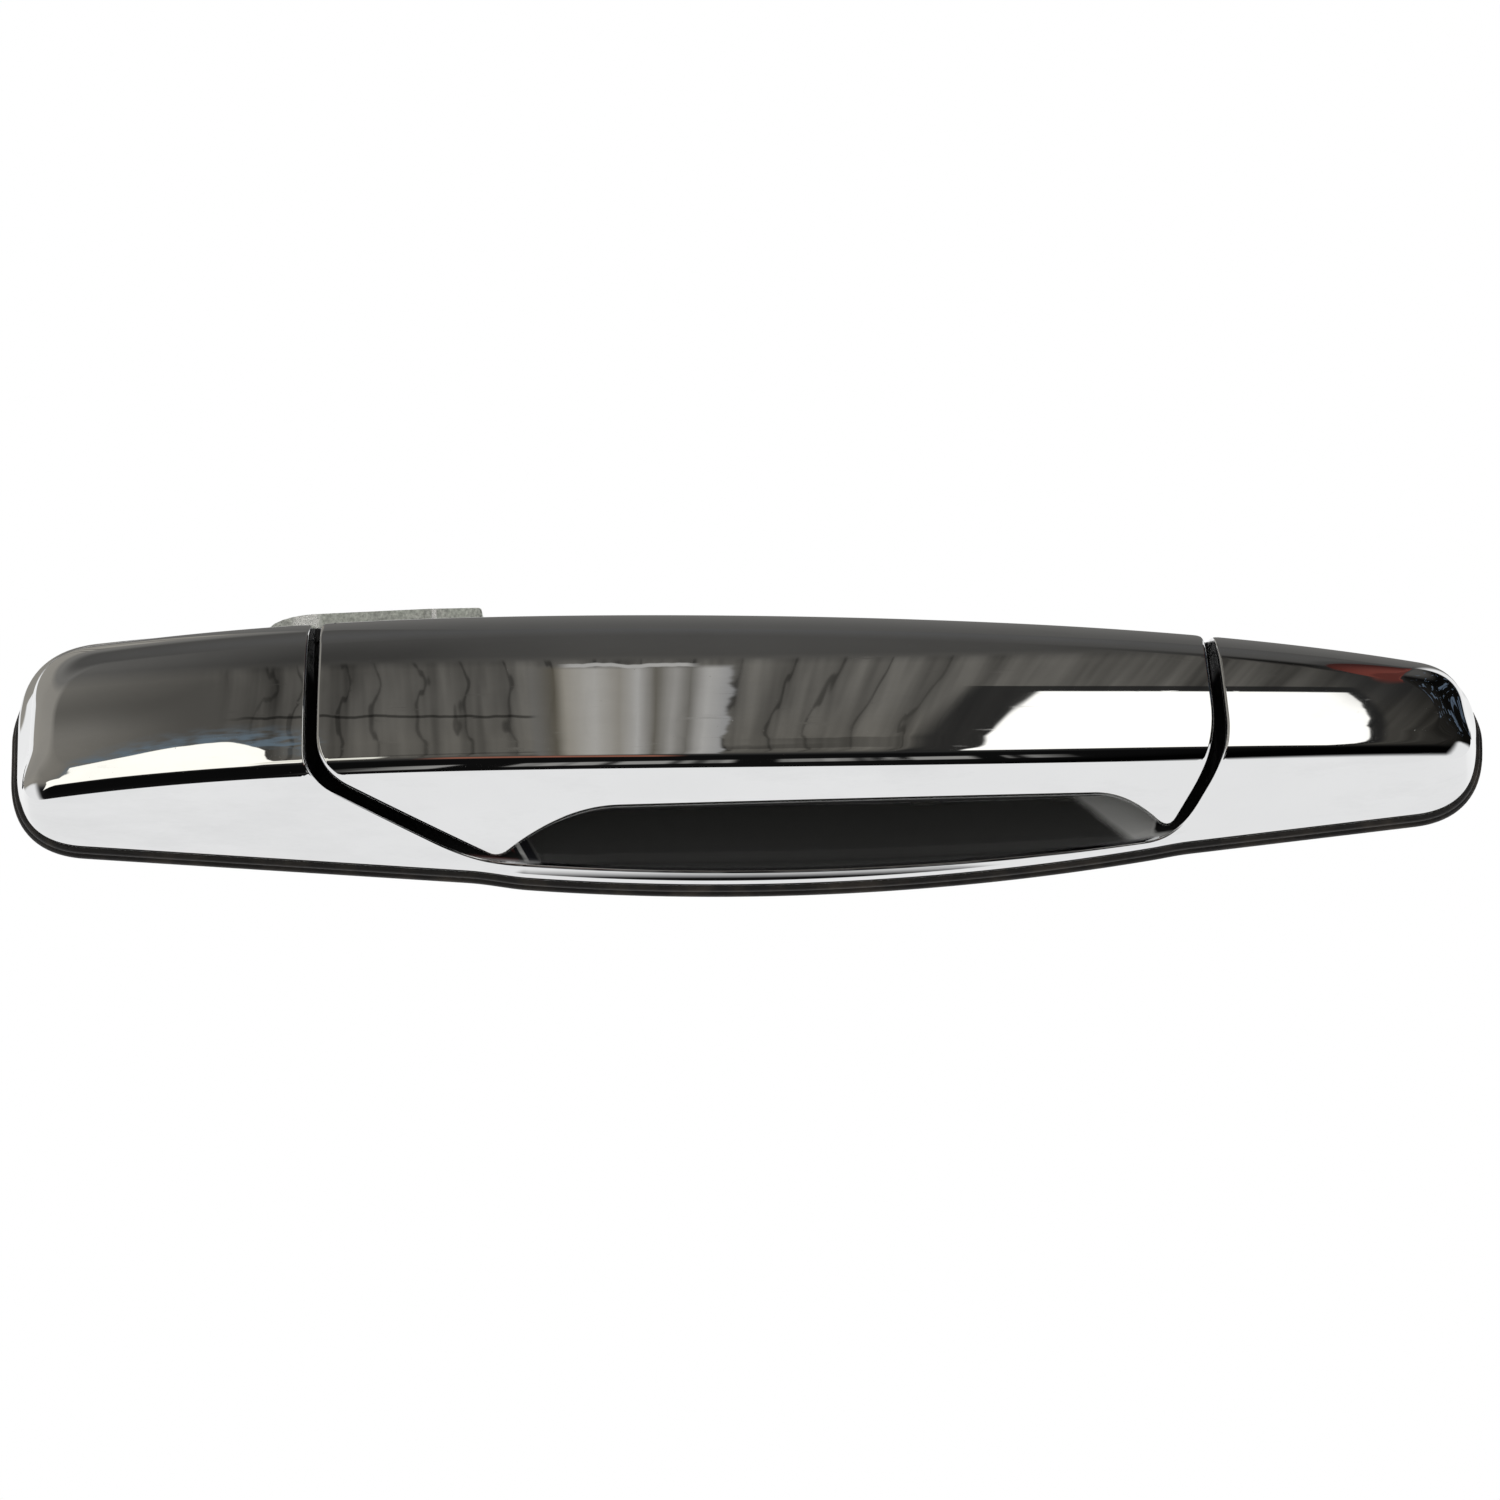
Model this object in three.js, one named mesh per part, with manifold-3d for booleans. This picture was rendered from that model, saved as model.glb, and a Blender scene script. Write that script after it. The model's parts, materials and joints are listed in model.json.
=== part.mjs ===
// Exterior car door handle of the lift-up paddle kind: a plated housing with two end wings and a finger
// scoop, a hinged paddle between them, a perimeter gasket, and the release mechanism behind it.
//
// All sizes are millimetres. The pieces are drawn in the panel's own frame: X runs along the door,
// Y is up and Z ("lift") is the height out of the door skin. The last group turns that frame so that the
// finished part has +Z up and its plated face towards -Y, with Y = 0 on the door skin.
import * as THREE from "three";
import { mergeVertices } from "three/addons/utils/BufferGeometryUtils.js";
import Module from "manifold-3d";

const wasm = await Module();
wasm.setup();

// ---------------------------------------------------------------- driving dimensions
const LEFT_END = -142.4; // plated outline, left end
const RIGHT_END = 141.3; // plated outline, right end
const BAR_LEFT = -139.2; // ends of the raised bar
const BAR_RIGHT = 138.3;
const TOP_DRAFT = 0.9; // the top wall leans out this much on its way to the flange
const FLANGE_BACK = 3.5; // lift of the flange's rear face
const FLANGE_FRONT = 6; // lift of the flange's outer edge
const CROWN = 31; // lift of the bar at the middle of its length
const SKIN = 2.5; // plated plastic wall
const SEAM_GAP = 2.2; // between the paddle and the housing

const SEAM_LEFT_X = -83.7; // upright part of the left seam
const PAN_FLOOR = -9; // lift of the pan behind the paddle
const PAN_WALL = 2.4;
const PAN_BACK = PAN_FLOOR - SKIN;

const HINGE_UP = 15; // paddle pin, height and lift
const HINGE_LIFT = 13;
const PIN_R = 2;
const GAP = 0.3; // clearance between pieces that rest on each other
const FIT = 0.05; // radial clearance of a running fit
const PADDLE_RIM = 15.5; // lift of the rear edge of the paddle's side walls

const STUD_X = 115; // mounting studs, either side of the middle
const STUD_R = 3;
const STUD_TIP = -22;
const BOSS_R = 6.5;

const CHASSIS_FRONT = -12;
const CHASSIS_BACK = -14.5;
const CRANK = { x: -77, up: 16, front: -16, back: -23, hubR: 7.5, pinR: 3, boreR: 4.5 };
const CRANK_FOOT = { x: -41, up: 11.1, r: 5 };
const FINGER = { x0: -47.5, x1: -37, up: 19.3, lift: -19, r: 3 };
const ROD_HOLE = { x: -102, up: 12, r: 2.6 };

// ---------------------------------------------------------------- small maths
const clamp = THREE.MathUtils.clamp;
const smoothstep = (low, high, v) => THREE.MathUtils.smoothstep(v, low, high);
const lerp = THREE.MathUtils.lerp;

// The lesser of two distances, with the corner between them rounded over a width k.
function blendMin(a, b, k) {
  const h = Math.max(k - Math.abs(a - b), 0) / k;
  return Math.min(a, b) - (h * h * k) / 4;
}

// Drop of a rounded edge of radius r at distance d inside the edge.
const edgeDrop = (d, r) => (d < r ? r - Math.sqrt(r * r - (r - Math.max(d, 0)) ** 2) : 0);

// ---------------------------------------------------------------- the lines of the face
// Each line is a gentle curve of the length, in units of 100 mm.
const topLine = (x) => 26 - 1.55 * (x / 100) - 2.5 * (x / 100) ** 2 - 0.8 * (x / 100) ** 4;
const creaseLine = (x) => {
  const s = x / 100;
  return -5.8 + 1.1 * s + 1.17 * s * s + s ** 3 - 0.83 * s ** 4;
};
const lipLine = (x) => -22.3 + 0.9 * (x / 100) + 8.6 * (x / 100) ** 2;

function bottomLine(x) {
  const s = x / 100;
  const leftWing = -25.5 - 6.4 * s;
  const rightWing = -26.6 + 12.1 * s;
  const middle = -24.65 + 1.4 * s + 9.9 * s * s;
  const withLeft = lerp(leftWing, middle, smoothstep(-55, -43, x));
  return lerp(withLeft, rightWing, smoothstep(78, 88, x));
}

// Lower edge of the paddle: nearly straight, falling away to a tip at each end.
function scoopLine(x) {
  const s = x / 100;
  const leftFall = 0.0143 * Math.max(0, -25 - x) ** 2;
  const rightFall = 0.0277 * Math.max(0, x - 66) ** 2;
  return -11.06 + 2.47 * s + 0.93 * s * s - leftFall - rightFall;
}

// Signed distances, positive inside, of the straight seams. `out` moves a seam away from the paddle.
const leftSeam = (x, y, out) => x - SEAM_LEFT_X + out;
const leftSlant = (x, y, out) => (x + 80) * 0.3856 + (y + 8) * 0.9226 + out;
const rightSeam = (x, y, out) => (89.2 - x) * 0.9956 - (y - 9.9) * 0.0932 + out;
const rightSlant = (x, y, out) => (90.1 - x) * 0.848 + (y + 1.9) * 0.53 + out;

// ---------------------------------------------------------------- outlines as distance functions
function plateOutline(x, y) {
  const up = topLine(x) + TOP_DRAFT - y;
  const down = y - bottomLine(x);
  const left = x - LEFT_END;
  const right = RIGHT_END - x;
  return Math.min(
    blendMin(up, left, 15),
    blendMin(down, left, 13),
    blendMin(up, right, 12),
    blendMin(down, right, 12),
  );
}

function barOutline(x, y) {
  const up = topLine(x) - y;
  const down = y - creaseLine(x);
  const left = x - BAR_LEFT;
  const right = BAR_RIGHT - x;
  return Math.min(
    blendMin(up, left, 11),
    blendMin(down, left, 4),
    blendMin(up, right, 9),
    blendMin(down, right, 4),
  );
}

// The mouth in the housing that the paddle sits in, grown by a wall that is thinner along its lip and top.
// With `open`, it runs out past the top edge.
function mouthOutline(x, y, wall = 0, open = false) {
  const out = SEAM_GAP / 2 + wall;
  const thin = wall * 0.55;
  const left = leftSeam(x, y, out);
  const leftLow = leftSlant(x, y, out);
  const right = rightSeam(x, y, out);
  const rightLow = rightSlant(x, y, out);
  const lip = y - lipLine(x) + thin;
  const up = open ? 40 - y : topLine(x) - 1.7 + thin - y;
  return Math.min(
    blendMin(up, left, 2),
    blendMin(left, leftLow, 5),
    blendMin(leftLow, lip, 2.5),
    blendMin(lip, rightLow, 5),
    blendMin(rightLow, right, 4),
    blendMin(right, up, 2),
  );
}

function paddleOutline(x, y, inset = 0) {
  const out = -SEAM_GAP / 2 - inset;
  const left = leftSeam(x, y, out);
  const leftLow = leftSlant(x, y, out);
  const right = rightSeam(x, y, out);
  const rightLow = rightSlant(x, y, out);
  const scoop = (y - scoopLine(x)) * 0.94 - inset;
  const up = topLine(x) + 0.25 - y - inset;
  return Math.min(
    blendMin(up, left, 2),
    blendMin(left, leftLow, 6),
    blendMin(leftLow, scoop, 2),
    blendMin(scoop, rightLow, 3),
    blendMin(rightLow, right, 5),
    blendMin(right, up, 2),
  );
}

// ---------------------------------------------------------------- surfaces as lift over the panel
const barFace = (x, y) => CROWN - 5.5 * (x / 100) ** 2 - 0.0125 * (y - creaseLine(x) - 7.5) ** 2;

// Drop of the bar's edge: a shallow roll along the crease, a deep round along the top and the ends.
function rollDrop(d, up) {
  const shallow = 0.117 * Math.max(3 - Math.max(d, 0), 0) ** 2;
  return lerp(shallow, 1.3 * edgeDrop(d, 6), smoothstep(3, 12, up));
}

// The plated outer face: the bar with its rolled edges, and the apron that slopes from it to the flange.
// `inset` gives the face of the hollow behind it, that far inside.
function plateFace(x, y, inset = 0) {
  const bar = barOutline(x, y) - inset;
  const face = barFace(x, y) - inset - rollDrop(bar, y - creaseLine(x));
  if (bar >= 0) return face;
  const plate = Math.max(plateOutline(x, y) - inset, 0);
  const share = plate / (plate - bar);
  const rim = FLANGE_FRONT - inset;
  return rim + (face - rim) * share;
}

// The pan behind the paddle: steep sides and top, and a long straight slope up to the finger lip that
// falls away faster once it is out of sight.
function panFace(x, y, wall = 0) {
  const out = SEAM_GAP / 2 + wall;
  const thin = wall * 0.55;
  const side = (d, r) => clamp(1 - d / r, 0, 1);
  const u = Math.hypot(
    side(leftSeam(x, y, out), 5),
    side(leftSlant(x, y, out), 5),
    side(rightSeam(x, y, out), 5),
    side(rightSlant(x, y, out), 5),
    side(topLine(x) - 1.7 + thin - y, 5),
  );
  const floor = wall > 0 ? PAN_BACK : PAN_FLOOR;
  const edge = wall > 0 ? FLANGE_BACK : 7 - 2.5 * smoothstep(-22, -15, y);
  const tub = floor + (edge - floor) * (1 - Math.sqrt(1 - Math.min(u, 1) ** 2));
  const beyond = -blendMin(0, creaseLine(x) - 1.5 - y, 2.5);
  const slope = (wall > 0 ? FLANGE_BACK : 7) - 0.35 * (y - lipLine(x) + thin) - 0.75 * beyond;
  return -blendMin(-tub, -slope, 4);
}

// Rear edge of the paddle's walls, level behind the bar and following the skin towards the tips.
function paddleBack(x, y) {
  const skin = plateFace(x, Math.min(y, topLine(x) - 6)) - 2.6;
  return Math.max(blendMin(PADDLE_RIM, skin, 3), 7.4);
}

// ---------------------------------------------------------------- making solids
function solid(geometry) {
  const bare = geometry.clone();
  bare.deleteAttribute("normal");
  bare.deleteAttribute("uv");
  const merged = mergeVertices(bare, 1e-4);
  return new wasm.Manifold(
    new wasm.Mesh({
      numProp: 3,
      vertProperties: new Float32Array(merged.attributes.position.array),
      triVerts: new Uint32Array(merged.index.array),
    }),
  );
}

function geometryOf(body) {
  const mesh = body.getMesh();
  const geometry = new THREE.BufferGeometry();
  geometry.setAttribute("position", new THREE.BufferAttribute(mesh.vertProperties, 3));
  geometry.setIndex(new THREE.BufferAttribute(mesh.triVerts, 1));
  const faceted = geometry.toNonIndexed();
  faceted.computeVertexNormals();
  return faceted;
}

// Follows the line where a distance function is zero, starting to the left of `from`.
function trace(distance, from = [0, 0]) {
  const gradient = (x, y) => {
    const e = 0.01;
    return [
      (distance(x + e, y) - distance(x - e, y)) / (2 * e),
      (distance(x, y + e) - distance(x, y - e)) / (2 * e),
    ];
  };
  const settle = (x, y) => {
    for (let i = 0; i < 4; i++) {
      const [gx, gy] = gradient(x, y);
      const move = distance(x, y) / (gx * gx + gy * gy);
      x -= gx * move;
      y -= gy * move;
    }
    return [x, y];
  };
  let [x, y] = from;
  while (distance(x, y) > 0) x -= 0.5;
  [x, y] = settle(x, y);
  const points = [[x, y]];
  const step = 0.4;
  for (let i = 0; i < 5000; i++) {
    const [gx, gy] = gradient(x, y);
    const size = Math.hypot(gx, gy);
    [x, y] = settle(x + (gy / size) * step, y - (gx / size) * step);
    if (i > 5 && Math.hypot(x - points[0][0], y - points[0][1]) < step * 0.8) break;
    points.push([x, y]);
  }
  return points.map(([px, py]) => new THREE.Vector2(px, py));
}

// Drops points that lie within `most` of the line between their neighbours.
function thinned(points, most = 0.1) {
  if (points.length < 3) return points;
  const a = points[0];
  const b = points[points.length - 1];
  const along = b.clone().sub(a);
  const size = along.length() || 1;
  let worst = 0;
  let at = 0;
  points.forEach((p, i) => {
    const off = a.distanceTo(b) < 1e-6
      ? p.distanceTo(a)
      : Math.abs(along.x * (p.y - a.y) - along.y * (p.x - a.x)) / size;
    if (off > worst) {
      worst = off;
      at = i;
    }
  });
  if (worst <= most) return [a, b];
  return [...thinned(points.slice(0, at + 1), most).slice(0, -1), ...thinned(points.slice(at), most)];
}

// The traced outline as a THREE.Shape.
function outline(distance, from) {
  const loop = trace(distance, from);
  const half = Math.floor(loop.length / 2);
  const first = thinned(loop.slice(0, half + 1));
  const second = thinned([...loop.slice(half), loop[0]]);
  return new THREE.Shape([...first.slice(0, -1), ...second.slice(0, -1)]);
}

// A shape on the panel, extruded from one lift to another.
function slab(shape, low, high, curveSegments = 12) {
  const geometry = new THREE.ExtrudeGeometry(shape, {
    depth: high - low,
    bevelEnabled: false,
    curveSegments,
  });
  return solid(geometry.translate(0, 0, low));
}

function rectangle(x0, x1, y0, y1) {
  return new THREE.Shape([
    new THREE.Vector2(x0, y0),
    new THREE.Vector2(x1, y0),
    new THREE.Vector2(x1, y1),
    new THREE.Vector2(x0, y1),
  ]);
}

const block = (x0, x1, y0, y1, z0, z1) => slab(rectangle(x0, x1, y0, y1), z0, z1);

// A round bar between two lifts.
function post(x, y, r, low, high, sides = 16) {
  const geometry = new THREE.CylinderGeometry(r, r, high - low, sides);
  return solid(geometry.rotateX(Math.PI / 2).translate(x, y, (low + high) / 2));
}

// A round bar along the length of the handle.
function rod(x0, x1, y, z, r, sides = 16) {
  const geometry = new THREE.CylinderGeometry(r, r, x1 - x0, sides);
  return solid(geometry.rotateZ(Math.PI / 2).translate((x0 + x1) / 2, y, z));
}

// A profile of [up, lift] points, extruded along the length of the handle.
function sideProfile(points, x0, x1) {
  const shape = new THREE.Shape(points.map(([up, lift]) => new THREE.Vector2(-lift, up)));
  const geometry = new THREE.ExtrudeGeometry(shape, { depth: x1 - x0, bevelEnabled: false });
  return solid(geometry.rotateY(Math.PI / 2).translate(x0, 0, 0));
}

// Closed solid between two lift functions, over a grid of columns whose rows follow the lines of the face.
function sheet(front, back, columns, rows) {
  const nx = columns.length;
  const ny = rows(columns[0]).length;
  const position = [];
  for (const surface of [front, back])
    for (const x of columns)
      for (const y of rows(x)) position.push(x, y, surface(x, y));
  const at = (side, i, j) => side * nx * ny + i * ny + j;
  const index = [];
  const quad = (a, b, c, d) => index.push(a, b, c, a, c, d);
  for (let i = 0; i < nx - 1; i++)
    for (let j = 0; j < ny - 1; j++) {
      quad(at(0, i, j), at(0, i + 1, j), at(0, i + 1, j + 1), at(0, i, j + 1));
      quad(at(1, i, j), at(1, i, j + 1), at(1, i + 1, j + 1), at(1, i + 1, j));
    }
  for (let i = 0; i < nx - 1; i++) {
    quad(at(1, i, 0), at(1, i + 1, 0), at(0, i + 1, 0), at(0, i, 0));
    quad(at(0, i, ny - 1), at(0, i + 1, ny - 1), at(1, i + 1, ny - 1), at(1, i, ny - 1));
  }
  for (let j = 0; j < ny - 1; j++) {
    quad(at(0, 0, j), at(0, 0, j + 1), at(1, 0, j + 1), at(1, 0, j));
    quad(at(1, nx - 1, j), at(1, nx - 1, j + 1), at(0, nx - 1, j + 1), at(0, nx - 1, j));
  }
  const geometry = new THREE.BufferGeometry();
  geometry.setAttribute("position", new THREE.Float32BufferAttribute(position, 3));
  geometry.setIndex(index);
  return solid(geometry);
}

// Columns between two ends, no further apart than `most`, with extra ones at the given places.
function columnsBetween(x0, x1, most, extra = []) {
  const marks = [x0, ...extra.filter((x) => x > x0 && x < x1), x1].sort((a, b) => a - b);
  const columns = [x0];
  for (let i = 1; i < marks.length; i++) {
    const n = Math.ceil((marks[i] - marks[i - 1]) / most);
    for (let k = 1; k <= n; k++) columns.push(lerp(marks[i - 1], marks[i], k / n));
  }
  return columns;
}

const END_COLUMNS = [-140.5, -139, -137.5, -135, -130, 130, 134.5, 137, 138.4, 139.6];

// Rows for the plated face: along the apron, over the bar's lower roll, its face, its upper roll and wall.
function faceRows(x) {
  const bottom = bottomLine(x) - 0.5;
  const crease = creaseLine(x);
  const top = topLine(x);
  const rows = [0, 0.35, 0.7].map((t) => lerp(bottom, crease, t));
  rows.push(crease, crease + 0.8, crease + 1.8, crease + 3.2, lerp(crease + 3.2, top - 6, 0.5));
  rows.push(top - 6, top - 3, top - 1, top - 0.2, top + 0.02, top + TOP_DRAFT + 0.5);
  return rows;
}

// Points of a torsion spring wound about +Z from z = 0: a straight leg, the coil, another straight leg.
function springLine(coilR, wireR, turns, startAngle, legs) {
  const perTurn = 10;
  const coil = [];
  for (let i = 0; i <= Math.round(turns * perTurn); i++) {
    const a = startAngle + (i / perTurn) * 2 * Math.PI;
    const z = (i / perTurn) * wireR * 2.3;
    coil.push(new THREE.Vector3(coilR * Math.cos(a), coilR * Math.sin(a), z));
  }
  const endAngle = startAngle + turns * 2 * Math.PI;
  const away = (from, angle, length) =>
    from.clone().add(new THREE.Vector3(Math.cos(angle) * length, Math.sin(angle) * length, 0));
  const first = away(coil[0], startAngle - Math.PI / 2, legs[0]);
  const last = away(coil[coil.length - 1], endAngle + Math.PI / 2, legs[1]);
  return [first, ...coil, last];
}

// Sweeps a round wire through a list of points, with its section turned at each point.
function wire(points, r, sides = 5) {
  const position = [];
  const index = [];
  let normal = new THREE.Vector3(0.8, 0.5, 0.3);
  points.forEach((p, i) => {
    const before = points[Math.max(i - 1, 0)];
    const after = points[Math.min(i + 1, points.length - 1)];
    const tangent = after.clone().sub(before).normalize();
    normal = normal.clone().addScaledVector(tangent, -normal.dot(tangent)).normalize();
    const side = tangent.clone().cross(normal);
    for (let k = 0; k < sides; k++) {
      const a = (k / sides) * 2 * Math.PI;
      const q = p.clone().addScaledVector(normal, r * Math.cos(a)).addScaledVector(side, r * Math.sin(a));
      position.push(q.x, q.y, q.z);
    }
  });
  const n = points.length;
  for (let i = 0; i < n - 1; i++)
    for (let k = 0; k < sides; k++) {
      const a = i * sides + k;
      const b = i * sides + ((k + 1) % sides);
      index.push(a, b, b + sides, a, b + sides, a + sides);
    }
  for (let k = 1; k < sides - 1; k++) {
    index.push(0, k + 1, k);
    index.push((n - 1) * sides, (n - 1) * sides + k, (n - 1) * sides + k + 1);
  }
  const geometry = new THREE.BufferGeometry();
  geometry.setAttribute("position", new THREE.Float32BufferAttribute(position, 3));
  geometry.setIndex(index);
  return solid(geometry);
}

// ---------------------------------------------------------------- shared outlines and blanks
const mouth = slab(outline((x, y) => mouthOutline(x, y)), -40, 60);
const mouthWalls = slab(outline((x, y) => mouthOutline(x, y, PAN_WALL)), -40, 60);
const mouthOpen = slab(outline((x, y) => mouthOutline(x, y, 0, true)), FLANGE_FRONT, 60);

const faceColumns = [
  ...columnsBetween(-145, -84, 11, END_COLUMNS),
  ...columnsBetween(-84, 90, 14).slice(1),
  ...columnsBetween(90, 144, 11, END_COLUMNS).slice(1),
];
const underFace = sheet(plateFace, () => PAN_BACK, faceColumns, faceRows);

const coarseRows = (x) => {
  const crease = creaseLine(x);
  const top = topLine(x);
  return [bottomLine(x) - 1, crease - 6, crease + 1, crease + 5, top - 7, top - 3, top + 1.5];
};
const coarseColumns = columnsBetween(-143, 142, 18, [-136, 136]);

const panRows = (x) => {
  const lip = lipLine(x);
  const top = topLine(x) - 1.7;
  const turn = creaseLine(x) - 1.5;
  const rows = [-3, 0, 3, 7].map((d) => lip + d);
  rows.push(turn - 1.6, turn, turn + 1.6, turn + 8, turn + 13);
  return [...rows, top - 5, top - 2.5, top - 0.8, top + 0.2, top + 3];
};
const panColumns = columnsBetween(-88, 94, 12, [-84.6, -82.5, -79, 79, 85, 88.5, 90]);
const backRows = (x) => {
  const lip = lipLine(x);
  const top = topLine(x) - 0.4;
  const turn = creaseLine(x) - 1.5;
  return [lip - 3, lip - 1.2, lip + 5, turn - 1.5, turn + 1.5, turn + 11, top - 4, top - 1, top + 3];
};
const backColumns = columnsBetween(-91, 97, 20, [-86, -80, 86, 91]);

const FEET = [[-127, 9], [-127, -6], [127, 4]]; // bear on the door skin
const CHASSIS_SCREWS = [[-95, -8], [-22, 12], [32, 12], [97, 9], [97, -4.5]];
const paddleColumns = columnsBetween(-86, 92, 12);
const LINER_SCREWS = [[-70, 3], [-12, 9], [34, 9], [62, 9]];
const BUMPERS = [["left", -60, 3], ["right", 75, 5]];
const BUMPER_SEAT = -0.9; // lift of the pads that carry them

const pieces = [];
function add(name, body, color, roughness, metalness) {
  const material = new THREE.MeshStandardMaterial({ color, roughness, metalness });
  const mesh = new THREE.Mesh(geometryOf(body), material);
  mesh.name = name;
  pieces.push(mesh);
}
const CHROME = [0xd8dadc, 0.08, 1];
const BLACK_NYLON = [0x1c1c1e, 0.55, 0];
const RUBBER = [0x161616, 0.85, 0];
const ZINC_CAST = [0x9da39c, 0.45, 1];
const STEEL = [0xb9bcc0, 0.35, 1];
const SPRING_STEEL = [0x8f9296, 0.3, 1];

// ---------------------------------------------------------------- plated housing
function housing() {
  let body = underFace.intersect(slab(outline(plateOutline), FLANGE_BACK, 60));
  const hollow = sheet((x, y) => plateFace(x, y, SKIN), () => -20, coarseColumns, coarseRows)
    .intersect(slab(outline((x, y) => plateOutline(x, y) - SKIN), -20, 60))
    .subtract(mouthWalls);
  const cavity = sheet(() => 60, (x, y) => panFace(x, y), panColumns, panRows).intersect(mouth);
  const behindPan = sheet((x, y) => panFace(x, y, PAN_WALL), () => -40, backColumns, backRows);
  const walls = underFace.intersect(mouthWalls).subtract(behindPan);
  body = body.subtract(hollow).add(walls).subtract(cavity).subtract(mouthOpen);

  // stud bosses with a rib to either side, feet and bosses for the chassis screws, all within the skin
  const within = underFace.translate([0, 0, -1.2]);
  const boss = (x, y, r, low, sides) => post(x, y, r, low, CROWN, sides).intersect(within);
  for (const x of [-STUD_X, STUD_X]) {
    body = body.add(boss(x, 0, BOSS_R, 0, 20));
    body = body.add(block(x - 1.1, x + 1.1, -9, 14, 5, 15).intersect(within));
    body = body.subtract(post(x, 0, STUD_R + GAP, -1, 14));
  }
  for (const [x, y] of FEET) body = body.add(boss(x, y, 3.2, 0, 20));
  for (const [x, y] of CHASSIS_SCREWS) {
    const inPan = Math.abs(x) < 80;
    body = body.add(inPan ? post(x, y, 4, PAN_BACK, -3) : boss(x, y, 4, CHASSIS_FRONT + GAP, 16));
    body = body.subtract(post(x, y, 2.1, -20, inPan ? -4.6 : -2, 12));
  }

  for (const [, x, y] of BUMPERS) body = body.add(post(x, y, 5.4, PAN_BACK + 2, BUMPER_SEAT, 20));

  // lugs for the paddle pin
  for (const [x0, x1] of [[-78.5, -74], [79.5, 83.5]]) {
    const stem = sideProfile(
      [[HINGE_UP - 4.4, -10], [HINGE_UP + 4.4, -10], [HINGE_UP + 4.4, HINGE_LIFT], [HINGE_UP - 4.4, HINGE_LIFT]],
      x0,
      x1,
    );
    body = body.add(stem).add(rod(x0, x1, HINGE_UP, HINGE_LIFT, 4.4));
    body = body.subtract(rod(x0 - 1, x1 + 1, HINGE_UP, HINGE_LIFT, 3.2 + FIT));
  }

  // slot for the paddle's finger
  return body.subtract(block(-53, -35, -4.5, 22.3, -30, 4));
}
add("chrome_bezel", housing(), ...CHROME);

// ---------------------------------------------------------------- gasket
// It stands out past the plate at the ends and along the foot, and tucks in under the top edge.
function gasket() {
  const reach = (y) => 1.8 - 1.3 * smoothstep(4, 13, y);
  const outer = slab(outline((x, y) => plateOutline(x, y) + reach(y)), 0, 1.9);
  const lip = slab(outline((x, y) => plateOutline(x, y) + reach(y) / 2), 1, FLANGE_BACK - GAP);
  const inner = slab(outline((x, y) => plateOutline(x, y) - 5), -2, 8);
  const pan = slab(outline((x, y) => mouthOutline(x, y, PAN_WALL) + GAP), -2, 8);
  return outer.add(lip).subtract(inner).subtract(pan);
}
add("door_gasket", gasket(), ...RUBBER);

// ---------------------------------------------------------------- paddle
function paddleShell() {
  const blank = sheet(plateFace, paddleBack, paddleColumns, faceRows);
  let body = blank.intersect(slab(outline((x, y) => paddleOutline(x, y)), 0, 60));
  const inside = sheet((x, y) => plateFace(x, y, 2.6), () => -20, coarseColumns, coarseRows)
    .intersect(slab(outline((x, y) => paddleOutline(x, y, 2.6)), -20, 60));
  body = body.subtract(inside);
  for (const [x, y] of LINER_SCREWS) {
    const top = plateFace(x, y) - 1.5;
    body = body.add(post(x, y, 3.2, PADDLE_RIM, top, 16));
    body = body.subtract(post(x, y, 1.6, PADDLE_RIM - 1, PADDLE_RIM + 7, 12));
  }
  return body;
}
add("paddle_shell", paddleShell(), ...CHROME);

function paddleLiner() {
  const front = (x, y) => paddleBack(x, y) - GAP;
  const rows = (x) => faceRows(x).filter((y, i) => i < 5 || i === 6 || i === 8 || i > 12);
  let body = sheet(front, (x, y) => front(x, y) - 2.3, paddleColumns, rows)
    .intersect(slab(outline((x, y) => paddleOutline(x, y, 0.6)), -10, 60));
  body = body.subtract(block(-90, 95, -30, -14.5, -10, 60)); // the tips are plated skin only

  // windows around the lugs and the spring
  body = body.subtract(block(-80, -73.2, 6, 30, 0, 30));
  body = body.subtract(block(78.7, 85, 6, 30, 0, 30));
  body = body.subtract(block(-66, -52, 9, 20, 0, 30));

  // knuckles on the pin, the bumper legs, and the finger that works the bellcrank
  for (const [x0, x1] of [[-73, -67], [-48, -39], [70, 78]])
    body = body.add(rod(x0, x1, HINGE_UP, HINGE_LIFT, 4));
  for (const [, x, y] of BUMPERS) body = body.add(post(x, y, 3.2, 4.6 + GAP, 13.5, 16));
  const arm = sideProfile(
    [[11.2, 13], [11.2, -4], [16.7, -15.5], [17.8, -20], [21, -20], [22, -17], [21.4, -8], [19, 13]],
    -47,
    -40,
  );
  body = body.add(arm).add(rod(FINGER.x0, FINGER.x1, FINGER.up, FINGER.lift, FINGER.r));
  body = body.subtract(rod(-90, 95, HINGE_UP, HINGE_LIFT, PIN_R + FIT));
  for (const [x, y] of LINER_SCREWS) body = body.subtract(post(x, y, 1.6, 5, 25, 12));
  return body;
}
add("paddle_liner", paddleLiner(), ...BLACK_NYLON);

LINER_SCREWS.forEach(([x, y], i) => {
  const seat = paddleBack(x, y) - GAP - 2.3 - GAP;
  const head = post(x, y, 3, seat - 2, seat, 16);
  const screw = head.add(post(x, y, 1.3, seat - 0.5, PADDLE_RIM + 6, 12));
  const drive = post(x, y, 1.1, seat - 3, seat - 1, 6);
  add("liner_screw_" + (i + 1), screw.subtract(drive), ...STEEL);
});

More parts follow.
